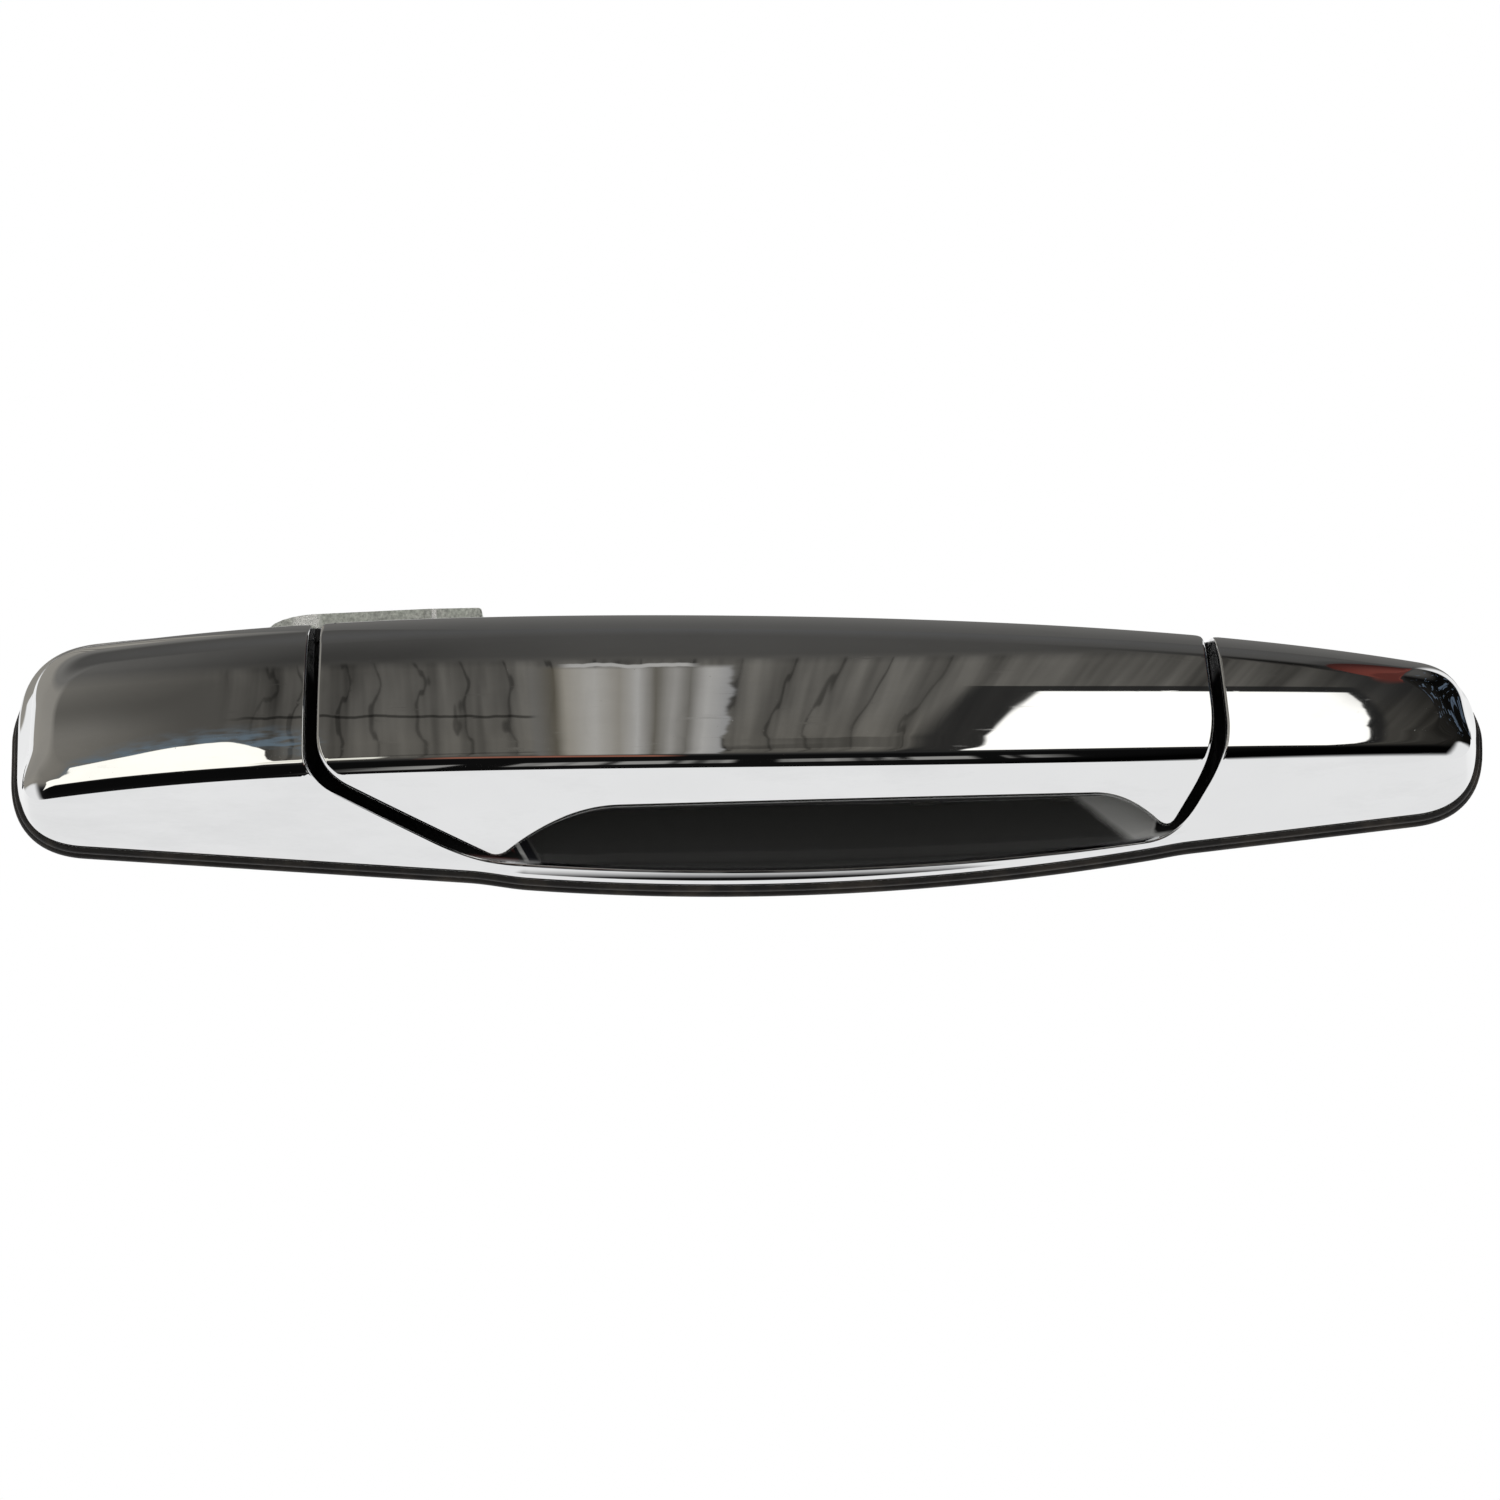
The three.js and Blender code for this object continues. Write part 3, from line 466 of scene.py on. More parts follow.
# ------------------------------------------------------------------ materials
class Nodes:
    """A short way to add and join the nodes of a material or a world."""

    def __init__(self, owner):
        owner.use_nodes = True
        self.tree = owner.node_tree
        self.tree.nodes.clear()

    def new(self, kind, **settings):
        node = self.tree.nodes.new(kind)
        for key, v in settings.items():
            setattr(node, key, v)
        return node

    def link(self, a, b):
        self.tree.links.new(a, b)

    def fill(self, node, values):
        """Links or sets a node's inputs, by name or by number."""
        for key, v in values.items():
            if isinstance(v, bpy.types.NodeSocket):
                self.link(v, node.inputs[key])
            else:
                node.inputs[key].default_value = v
        return node

    def maths(self, operation, a, b=0.0):
        return self.fill(self.new("ShaderNodeMath", operation=operation), {0: a, 1: b}).outputs[0]

    def add(self, a, b):
        return self.maths("ADD", a, b)

    def less(self, a, b):
        return self.maths("SUBTRACT", a, b)

    def plus(self, a, k, b):
        """a + k * b"""
        return self.add(a, self.times(b, k))

    def times(self, first, *others):
        for other in others:
            first = self.maths("MULTIPLY", first, other)
        return first

    def size(self, a):
        return self.maths("ABSOLUTE", a)

    def spread(self, v, low, high, to_low=0.0, to_high=1.0, kind="LINEAR"):
        """Carries the span low to high over to the span to_low to to_high."""
        node = self.new("ShaderNodeMapRange", interpolation_type=kind)
        ends = {"From Min": low, "From Max": high, "To Min": to_low, "To Max": to_high}
        return self.fill(node, {"Value": v, **ends}).outputs["Result"]

    def mix(self, share, a, b):
        node = self.new("ShaderNodeMix", data_type="RGBA")
        return self.fill(node, {"Factor": share, "A": a, "B": b}).outputs["Result"]


class Finish(Nodes):
    """The nodes of one material, round a principled shader, in the object's own metres."""

    def __init__(self, name):
        self.material = bpy.data.materials.new(name)
        super().__init__(self.material)
        self.shader = self.new("ShaderNodeBsdfPrincipled")
        self.link(self.shader.outputs[0], self.new("ShaderNodeOutputMaterial").inputs["Surface"])
        self.coords = self.new("ShaderNodeTexCoord").outputs["Object"]

    def axes(self):
        return self.fill(self.new("ShaderNodeSeparateXYZ"), {0: self.coords}).outputs

    def noise(self, scale, detail=3.0, rough=0.5, stretch=(1, 1, 1), shift=(0, 0, 0)):
        spot = self.fill(
            self.new("ShaderNodeMapping"), {"Scale": stretch, "Location": shift, "Vector": self.coords})
        grain = {"Scale": scale, "Detail": detail, "Roughness": rough, "Vector": spot.outputs[0]}
        return self.fill(self.new("ShaderNodeTexNoise"), grain).outputs["Fac"]

    def cells(self, scale):
        node = self.new("ShaderNodeTexVoronoi")
        return self.fill(node, {"Scale": scale, "Vector": self.coords}).outputs["Distance"]

    def attribute(self, name):
        return self.new("ShaderNodeAttribute", attribute_name=name).outputs["Fac"]

    def bump(self, height, distance, strength=1.0, below=None):
        node = self.fill(
            self.new("ShaderNodeBump"), {"Strength": strength, "Distance": distance, "Height": height})
        if below is not None:
            self.link(below, node.inputs["Normal"])
        return node.outputs["Normal"]

    def set(self, **sockets):
        names = {"color": "Base Color", "roughness": "Roughness", "metallic": "Metallic", "normal": "Normal",
                 "specular": "Specular IOR Level"}
        self.fill(self.shader, {names[key]: v for key, v in sockets.items()})
        return self.material


def rgba(colour, share=1.0):
    return (colour[0] * share, colour[1] * share, colour[2] * share, 1.0)


def grey(v, warm=0.0):
    return (v * (1.0 + warm), v, v * (1.0 - 2.0 * warm), 1.0)


def plate_wear(n, colour, wave):
    """Bright plate: faint long waves of the moulding, hairline scratches, a few dull specks and stains."""
    waves = n.noise(16.0, 1.0, 0.4, (1.0, 0.4, 0.35))
    scratches = n.spread(n.noise(900.0, 2.0, 0.6, (0.06, 1.0, 1.0)), 0.66, 0.74)
    specks = n.spread(n.cells(420.0), 0.05, 0.0)
    film = n.noise(38.0, 4.0, 0.6, (1, 1, 1), (0.3, 0.1, 0.2))
    stains = n.noise(55.0, 6.0, 0.7, (0.35, 1, 1), (0.7, 0.2, 0.4))
    tint = n.mix(n.spread(film, 0.3, 0.8), rgba(colour, 0.96), rgba(colour))
    tint = n.mix(n.spread(stains, 0.48, 0.7, 0.0, 0.7), tint, rgba(colour, 0.88))
    rough = n.spread(film, 0.35, 0.75, 0.008, 0.03)
    rough = n.plus(n.plus(rough, 0.05, scratches), 0.25, specks)
    normal = n.bump(waves, wave)
    return tint, rough, n.bump(scratches, 0.000002, 0.35, normal)


def chrome_material(name, colour, wave):
    """Worn plate that stops in the seams and on the backs and turns near-black there; in the seams that
    near-black is painted shade.

    The recess is darkened as painted shade and has painted reflections: a paler wedge at its right end and
    three slanting bits of colour at its left tip.
    """
    n = Finish(name)
    tint, rough, normal = plate_wear(n, colour, wave)
    x, y, z = n.axes()
    # Below the outer face the plating fades to near-black: unplated on the backs, painted shade in the
    # seams. The shade is eased near the seams' tops, where light gets in.
    lit_seam_tops = n.times(n.spread(z, 0.014, 0.018, 0.0, 0.75), n.spread(y, -0.009, -0.0075, 1.0, 0.0))
    bare_and_shaded = n.times(n.spread(n.attribute("depth"), 1.2, 3.0), n.less(1.0, lit_seam_tops))

    # The finger recess: its chrome is darkened to grey as painted shade, with painted reflections in it.
    over_lip = n.less(n.add(z, 0.0223), n.times(n.add(n.times(x, 0.86), 0.009), x))
    from_mid = n.size(n.less(x, 0.0125))
    recess = n.times(n.spread(y, -0.0085, -0.0065), n.spread(over_lip, 0.0003, 0.001),
                     n.spread(from_mid, 0.0705, 0.0725, 1.0, 0.0))
    # A paler wedge at the recess's right end: a painted reflection.
    wedge = n.plus(n.plus(x, 1.1, z), 0.007, n.noise(45.0, 3.0, 0.55))
    wedge = n.spread(wedge, 0.0575, 0.0605)
    # Slanting red, near-black and pale bits at the recess's left tip: a painted reflection.
    leant = n.plus(x, 0.55, n.add(z, 0.02))
    tip = n.spread(leant, -0.0412, -0.0402, 1.0, 0.0)
    bits = n.mix(n.spread(leant, -0.0449, -0.0446), rgba((0.2, 0.05, 0.04)), rgba((0.02, 0.02, 0.024)))
    pale = n.spread(n.size(n.add(leant, 0.0434)), 0.0003, 0.0006, 1.0, 0.0)
    bits = n.mix(pale, bits, rgba((0.7, 0.7, 0.68)))
    # Dark grey of the recess as painted shade, paler in the wedge as a painted reflection.
    inner = n.mix(wedge, rgba((0.3, 0.3, 0.29)), rgba((0.62, 0.62, 0.6)))

    tint = n.mix(recess, tint, n.mix(tip, inner, bits))
    # Near-black where the plating fades: painted shade in the seams, unplated on the backs.
    tint = n.mix(bare_and_shaded, tint, rgba((0.006, 0.006, 0.0062)))
    rough = n.plus(n.plus(rough, 0.4, bare_and_shaded), 0.06, recess)
    dull = n.times(recess, n.plus(n.plus(0.09, 0.4, wedge), 0.45, tip))
    metal = n.maths("MAXIMUM", n.less(n.less(1.0, bare_and_shaded), dull), 0.0)
    return n.set(color=tint, metallic=metal, roughness=rough, normal=normal)


def cast_material(name, colour, grain=1.0, highlight_bands=()):
    """Zinc as cast: a coarse skin with pale high spots, darker pits and a dull bloom.

    The bands listed in the last argument, pairs of x and half-width in metres, are painted near-white and
    made glossier as painted highlights.
    """
    n = Finish(name)
    coarse = n.noise(1300.0 * grain, 4.0, 0.7)
    fine = n.noise(3600.0 * grain, 3.0, 0.6)
    bloom = n.spread(n.noise(60.0, 3.0, 0.5), 0.45, 0.75, 0.0, 0.4)
    pits = n.spread(n.cells(900.0 * grain), 0.0, 0.35, 1.0, 0.0)
    greenish = (colour[0] * 0.86, colour[1] * 0.97, colour[2] * 0.84)
    tone = n.mix(n.spread(coarse, 0.35, 0.68), rgba(colour, 0.5), rgba(colour))
    tone = n.mix(bloom, tone, rgba(greenish))
    rough = n.spread(coarse, 0.3, 0.7, 0.55, 0.3)
    normal = n.bump(coarse, 0.00016, 0.9)
    normal = n.bump(fine, 0.00006, 0.5, normal)
    normal = n.bump(pits, 0.0001, 0.35, normal)
    # Painted highlights: near-white, glossier bands across the casting.
    for at, half in highlight_bands:
        bright = n.spread(n.size(n.less(n.axes()[0], at)), half * 0.6, half, 0.85, 0.0)
        tone = n.mix(bright, tone, rgba((0.97, 0.97, 0.95)))
        rough = n.less(rough, n.times(bright, 0.2))
    return n.set(color=tone, metallic=0.7, roughness=rough, normal=normal)


def rubber_material(name, colour, bloom_colour):
    n = Finish(name)
    dust = n.noise(140.0, 4.0, 0.6)
    fine = n.noise(1800.0, 3.0, 0.55)
    tone = n.mix(n.spread(dust, 0.45, 0.8, 0.0, 0.8), rgba(colour), rgba(bloom_colour))
    rough = n.spread(fine, 0.3, 0.7, 0.3, 0.5)
    return n.set(color=tone, roughness=rough, specular=0.3, normal=n.bump(fine, 0.00004, 0.4))


def nylon_material(name, colour, rough_low=0.38, rough_high=0.6):
    n = Finish(name)
    flow = n.noise(90.0, 4.0, 0.6, (0.4, 1.0, 1.0))
    spark = n.noise(2600.0, 2.0, 0.5)
    tone = n.mix(n.spread(flow, 0.35, 0.7), rgba(colour), rgba([c * 1.35 + 0.004 for c in colour]))
    rough = n.spread(flow, 0.3, 0.75, rough_low, rough_high)
    return n.set(color=tone, roughness=rough, normal=n.bump(spark, 0.00003, 0.5))


def steel_material(name, colour, rough_low, rough_high, along=(1.0, 1.0, 1.0)):
    n = Finish(name)
    drawn = n.noise(1500.0, 3.0, 0.6, along)
    age = n.noise(110.0, 5.0, 0.65)
    tone = n.mix(n.spread(age, 0.4, 0.75), rgba(colour), rgba(colour, 0.75))
    rough = n.spread(drawn, 0.3, 0.7, rough_low, rough_high)
    return n.set(color=tone, metallic=1.0, roughness=rough, normal=n.bump(drawn, 0.00002, 0.4))


# ------------------------------------------------------------------ settings
class HandleSizes(bpy.types.PropertyGroup):
    edge_roll: bpy.props.FloatProperty(
        name="Edge roll", description="Radius of the plated edges, in millimetres",
        default=0.55, min=0.2, max=1.5)
    ridge: bpy.props.FloatProperty(
        name="Gasket ridge", description="How far the gasket stands out past the plate, in millimetres",
        default=1.8, min=0.5, max=3.0)
    corner_bevel: bpy.props.FloatProperty(
        name="Corner bevel", description="Broken edge of the mechanism's pieces",
        default=0.00025, min=0.0, max=0.002, unit="LENGTH")


class HandleFinish(bpy.types.PropertyGroup):
    chrome: bpy.props.FloatVectorProperty(
        name="Chrome", description="Colour of the plating", subtype="COLOR", size=3,
        default=(0.86, 0.865, 0.87), min=0.0, max=1.0)
    rubber: bpy.props.FloatVectorProperty(
        name="Rubber", description="Colour of the gasket", subtype="COLOR", size=3,
        default=(0.012, 0.011, 0.0105), min=0.0, max=1.0)
    zinc: bpy.props.FloatVectorProperty(
        name="Zinc", description="Colour of the die castings", subtype="COLOR", size=3,
        default=(0.8, 0.82, 0.76), min=0.0, max=1.0)
    nylon: bpy.props.FloatVectorProperty(
        name="Nylon", description="Colour of the moulded inner pieces", subtype="COLOR", size=3,
        default=(0.018, 0.018, 0.019), min=0.0, max=1.0)


class HandleStage(bpy.types.PropertyGroup):
    floor_drop: bpy.props.FloatProperty(
        name="Floor drop", description="Height of the floor under the handle's middle",
        default=0.3, min=0.1, max=2.0, unit="LENGTH")
    camera_distance: bpy.props.FloatProperty(
        name="Camera distance", description="From the camera to the handle",
        default=1.0, min=0.3, max=5.0, unit="LENGTH")
    camera_tilt: bpy.props.FloatProperty(
        name="Camera pitch", description="Angle that the camera looks up by",
        default=math.radians(-10.0), subtype="ANGLE")


# ------------------------------------------------------------------ plated housing
def grid(across, along, keep):
    """The points of a grid where keep holds; across and along are (first, end, step)."""
    xs, ys = np.meshgrid(np.arange(*across), np.arange(*along))
    x, y = xs.ravel(), ys.ravel()
    good = keep(x, y)
    return np.stack([x[good], y[good]], axis=1)


def plated_net(outline, start, step):
    """A plated face: close rings along its edge, rings of the bar's roll and skirt, and an open grid."""

    def clear(x, y):
        return outline(x, y) > EDGE_STEPS[-1] + 0.12

    net = Net()
    edge = contour(outline, start, step)
    for ring in [edge, *levels(outline, edge, EDGE_STEPS)]:
        net.loop(ring)
    bar = contour(bar_outline, (0.0, 5.0), 1.1)
    bands = [0.01, 0.1, 0.25, 0.45, 0.7, 1.0, 1.4, 1.8, 2.3, 2.7, 3.0, 3.4, 4.2, 5.1, 6.05, 6.8]
    shares = [0.975, 0.9, 0.8, 0.7, 0.6, 0.5, 0.4, 0.3, 0.2, 0.11]
    rings = levels(bar_outline, bar, bands) + levels(bar_outline, bar, [-0.01])
    rings += levels(skirt_share, levels(bar_outline, bar, [-0.05])[0], shares)
    for ring in rings:
        add_runs(net, ring, clear)
    net.scatter(grid((-130.0, 130.0, 2.6), (-2.0, 20.0, 1.7),
                     lambda x, y: (bar_outline(x, y) > 7.4) & clear(x, y)))
    return net.triangles(lambda x, y: outline(x, y) > 0)


def add_runs(net, ring, keep):
    """Adds the stretches of a ring that keep allows."""
    good = keep(ring[:, 0], ring[:, 1])
    if good.all():
        net.loop(ring)
        return
    n = len(ring)
    start = int(np.argmin(good))
    run = []
    for i in range(n + 1):
        k = (start + i) % n
        if good[k] and i < n:
            run.append(ring[k])
        else:
            if len(run) > 1:
                net.loop(np.array(run), closed=False)
            elif len(run) == 1:
                net.scatter(run)
            run = []


class HANDLE_OT_housing(bpy.types.Operator):
    """Builds the plated housing: wings, lower rim, seam walls, finger pan, bosses and pin lugs"""
    bl_idname = "handle.housing"
    bl_label = "Plated housing"

    def execute(self, context):
        roll = context.scene.handle_sizes.edge_roll
        body = Body()

        def wings(x, y):
            return np.minimum(plate_outline(x, y), -mouth_outline(x, y, 0.0, True))

        def front(x, y):
            return plate_face(x, y) - edge_drop(wings(x, y), roll)

        def back(x, y):
            hollow = plate_face(x, y, SKIN)
            return np.where(plate_outline(x, y) < SKIN, FLANGE_BACK, hollow)

        xy, tris = plated_net(wings, (-120.0, 5.0), 0.8)
        body.sheet(xy, tris, one_zone, [front], back, wings)

        self.pan(body)
        self.bosses(body)
        finish = context.scene.handle_finish
        obj = body.make("housing_plated", chrome_material("bezel chrome", finish.chrome, 0.00011))
        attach(obj, "housing")
        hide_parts("chrome_bezel")
        return {"FINISHED"}

    def pan(self, body):
        """The bathtub behind the paddle, its walls up to the wings, and the ledge along the top."""

        def reach(x, y):
            return np.minimum(mouth_outline(x, y, PAN_WALL, True), plate_outline(x, y) - 0.05)

        def zones(x, y):
            inside = mouth_outline(x, y) > -0.06
            ledge = mouth_outline(x, y, 0.0, True) > -0.06
            return np.where(inside, 0, np.where(ledge, 1, 2))

        def ledge(x, y):
            return FLANGE_FRONT - edge_drop(plate_outline(x, y), 0.7) + 0.0 * x

        def under_wings(x, y):
            return plate_face(x, y) - 2.0

        def slot(x, y):
            across = np.abs(x + 44.0) - 9.0
            up = np.abs(y - 8.9) - 13.4
            return -blend_min(-across, -up, 3.0)

        inner = contour(mouth_outline, (0.0, 5.0), 0.6)
        net = Net()
        net.loop(contour(reach, (0.0, 5.0), 1.2))
        net.loop(inner)
        net.loop(levels(mouth_outline, inner, [-0.12])[0])
        for ring in levels(mouth_outline, inner, [0.05, 0.15, 0.35, 0.7, 1.2, 1.9, 2.8, 4.0, 5.5]):
            add_runs(net, ring, lambda x, y: slot(x, y) > 0.3)
        gap = contour(lambda x, y: -slot(x, y), (-44.0, 8.0), 0.9)
        net.loop(gap)
        opening = contour(lambda x, y: mouth_outline(x, y, 0.0, True), (0.0, 5.0), 0.6)
        for shift in (0.0, -0.12):
            side = levels(lambda x, y: mouth_outline(x, y, 0.0, True), opening, [shift])[0]
            add_runs(net, side, lambda x, y: (y > top_line(x) - 1.0) & (plate_outline(x, y) > 0.15))
        net.scatter(grid((-84.0, 92.0, 1.9), (-22.0, 22.0, 1.3),
                         lambda x, y: (mouth_outline(x, y) > 6.2) & (slot(x, y) > 0.5)))
        xy, tris = net.triangles(lambda x, y: (reach(x, y) > 0) & (slot(x, y) > 0))

        # Depth under the face, kept only near the seams, where it fades the plating to near-black painted
        # shade.
        def depth(x, y, lift):
            beside = np.minimum(np.minimum(left_seam(x, y, 0), left_slant(x, y, 0)),
                                np.minimum(right_seam(x, y, 0), right_slant(x, y, 0)))
            return (plate_face(x, y) - lift) * smoothstep(5.0, 2.5, beside)

        body.sheet(xy, tris, zones, [pan_face, ledge, under_wings],
                   lambda x, y: pan_face(x, y, PAN_WALL), lambda x, y: mouth_outline(x, y), depth)

    def bosses(self, body):
        """Stud and screw bosses, feet and bumper pads, and the two lugs that hold the paddle's pin."""
        turn = np.linspace(0.0, 2.0 * math.pi, 24)

        def under(x, y, r):
            ring = plate_face(x + r * np.cos(turn), y + r * np.sin(turn), SKIN)
            return float(min(ring.min(), plate_face(np.array(float(x)), np.array(float(y)), SKIN))) + 0.9

        def boss(x, y, r, low, bore, sides):
            top = under(x, y, r) - low
            body.turned((x, y, low), (0, 0, 1), [(0, bore), (0, r - 0.2), (0.2, r), (top, r)], sides)

        studs = ((-STUD_X, 0), (STUD_X, 0))
        feet = ((-127, 9), (-127, -6), (127, 4))
        wing_screws = ((-95, -8), (97, 9), (97, -4.5))
        for spots, r, low, bore, sides in (
            (studs, 6.5, 0.0, 3.4, 40), (feet, 3.2, 0.0, 0.0, 28), (wing_screws, 4.0, -11.7, 2.1, 32)
        ):
            for x, y in spots:
                boss(x, y, r, low, bore, sides)
        for x, y in ((-22, 12), (32, 12)):
            body.turned((x, y, -11.4), (0, 0, 1), [(0, 4.0), (8.1, 3.9), (8.4, 3.6)], 32)
        for x, y in ((-60, 3), (75, 5)):
            body.turned((x, y, -9.0), (0, 0, 1), [(0, 5.5), (7.8, 5.4), (8.1, 5.1)], 36)
        for ends in ((-78.5, -74.0), (79.5, 83.5)):
            self.lug(body, ends, 4.4, -9.6)

    def lug(self, body, ends, half, foot):
        """A round-topped lug between two values of x, from its foot up to round the paddle's pin."""
        outline = [(HINGE_UP - half, foot), (HINGE_UP - half, HINGE_LIFT)]
        for k in range(1, 16):
            a = math.pi * k / 16
            outline.append((HINGE_UP - half * math.cos(a), HINGE_LIFT + half * math.sin(a)))
        outline += [(HINGE_UP + half, HINGE_LIFT), (HINGE_UP + half, foot)]
        n = len(outline)
        verts = [(x, y, z) for x in ends for y, z in outline]
        faces = [list(range(n)), list(range(2 * n - 1, n - 1, -1))]
        faces += [[i, i + n, (i + 1) % n + n, (i + 1) % n] for i in range(n)]
        body.add(np.array(verts, dtype=float), faces)


class HANDLE_OT_paddle(bpy.types.Operator):
    """Builds the plated lift-up paddle with its rolled edges and hollow back"""
    bl_idname = "handle.paddle"
    bl_label = "Plated paddle"

    def execute(self, context):
        roll = context.scene.handle_sizes.edge_roll
        body = Body()

        def front(x, y):
            return plate_face(x, y) - edge_drop(paddle_outline(x, y), roll)

        def rim(x, y):
            skin = plate_face(x, np.minimum(y, top_line(x) - 6.0)) - PADDLE_SKIN
            return np.maximum(blend_min(PADDLE_RIM, skin, 3.0), 7.4)

        def back(x, y):
            hollow = np.maximum(plate_face(x, y, PADDLE_SKIN), rim(x, y))
            return np.where(paddle_outline(x, y) < PADDLE_SKIN, rim(x, y), hollow)

        xy, tris = plated_net(paddle_outline, (0.0, 5.0), 0.7)
        body.sheet(xy, tris, one_zone, [front], back, paddle_outline)
        for x, y in ((-70, 3), (-12, 9), (34, 9), (62, 9)):
            top = float(plate_face(np.array(float(x)), np.array(float(y)))) - 2.0
            profile = [(0, 1.7), (0, 3.0), (0.2, 3.2), (top - PADDLE_RIM, 3.3)]
            body.turned((x, y, PADDLE_RIM), (0, 0, 1), profile, 28)
        finish = context.scene.handle_finish
        obj = body.make("paddle_plated", chrome_material("paddle chrome", finish.chrome, 0.00011))
        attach(obj, "paddle")
        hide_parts("paddle_shell")
        return {"FINISHED"}


class HANDLE_OT_gasket(bpy.types.Operator):
    """Sweeps the rubber gasket's two-ridged section round the outline"""
    bl_idname = "handle.gasket"
    bl_label = "Gasket"

    def execute(self, context):
        ridge = context.scene.handle_sizes.ridge
        body = Body()
        path = contour(plate_outline, (0.0, 5.0), 1.0)
        fx, fy = slopes(plate_outline, path[:, 0], path[:, 1])
        out = -np.stack([fx, fy], axis=1) / np.hypot(fx, fy)[:, None]
        section = [(-2.4, 0.0), (ridge - 0.35, 0.0)]
        for k in range(9):
            a = math.radians(-70 + 20 * k)
            section.append((ridge - 0.75 + 0.75 * math.cos(a), 0.8 + 0.75 * math.sin(a)))
        section.append((0.62, 1.72))
        for k in range(8):
            a = math.radians(-55 + 20 * k)
            section.append((0.35 + 0.72 * math.cos(a), 2.45 + 0.68 * math.sin(a)))
        section += [(-0.4, 3.15), (-2.4, 3.15)]
        tuck = 1.0 - 0.72 * smoothstep(4.0, 13.0, path[:, 1])
        body.ring(path, out, [(o * tuck if o > 0 else o, z) for o, z in section])
        finish = context.scene.handle_finish
        rubber = rubber_material("gasket rubber", finish.rubber, (0.05, 0.04, 0.03))
        obj = body.make("gasket_moulded", rubber, 50.0)
        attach(obj, "housing")
        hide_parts("door_gasket")
        return {"FINISHED"}


class HANDLE_OT_mechanism(bpy.types.Operator):
    """Finishes the mechanism's pieces: broken edges, smooth round faces and their materials"""
    bl_idname = "handle.mechanism"
    bl_label = "Mechanism"

    def execute(self, context):
        finish = context.scene.handle_finish
        bevel = context.scene.handle_sizes.corner_bevel
        by_slot = {
            "liner_nylon": nylon_material("liner nylon", finish.nylon),
            "bushing_nylon": nylon_material("bushing acetal", (0.03, 0.03, 0.03), 0.25, 0.4),
            "clip_nylon": nylon_material("natural nylon", (0.62, 0.57, 0.46), 0.3, 0.45),
            "bumper_rubber": rubber_material("bumper rubber", finish.rubber, (0.03, 0.03, 0.03)),
            "pin_steel": steel_material("ground pin", (0.6, 0.61, 0.62), 0.16, 0.34, (0.2, 1.0, 1.0)),
            "spring_steel": steel_material("spring wire", (0.32, 0.33, 0.34), 0.2, 0.4),
            "screw_steel": steel_material("zinc plated screw", (0.66, 0.65, 0.6), 0.25, 0.45),
            "stud_steel": steel_material("yellow plated stud", (0.66, 0.58, 0.38), 0.25, 0.45),
            "chassis_zinc": cast_material("chassis casting", finish.zinc, 0.8),
            # The lever's three painted highlight bands, near-white and glossier.
            "lever_zinc": cast_material(
                "lever casting", finish.zinc, 1.0,
                ((-0.063, 0.0006), (-0.0885, 0.0032), (-0.0525, 0.0007))),
        }
        slots = {s["node"]: s["material_slot"] for s in frame["record"]["subparts"]}
        for name, node in frame["nodes"].items():
            if node.hide_render or slots[name] not in by_slot:
                continue
            node.data.materials.clear()
            node.data.materials.append(by_slot[slots[name]])
            flat = node.modifiers.new("flat faces", "DECIMATE")
            flat.decimate_type = "DISSOLVE"
            flat.angle_limit = math.radians(1.0)
            if "spring" not in name:
                edge = node.modifiers.new("broken edges", "BEVEL")
                edge.width = bevel
                edge.segments = 2
                edge.limit_method = "ANGLE"
                edge.angle_limit = math.radians(40)
                edge.harden_normals = True
            for polygon in node.data.polygons:
                polygon.use_smooth = True
            smooth = node.modifiers.new("smooth rounds", "WEIGHTED_NORMAL")
            smooth.keep_sharp = False
        return {"FINISHED"}


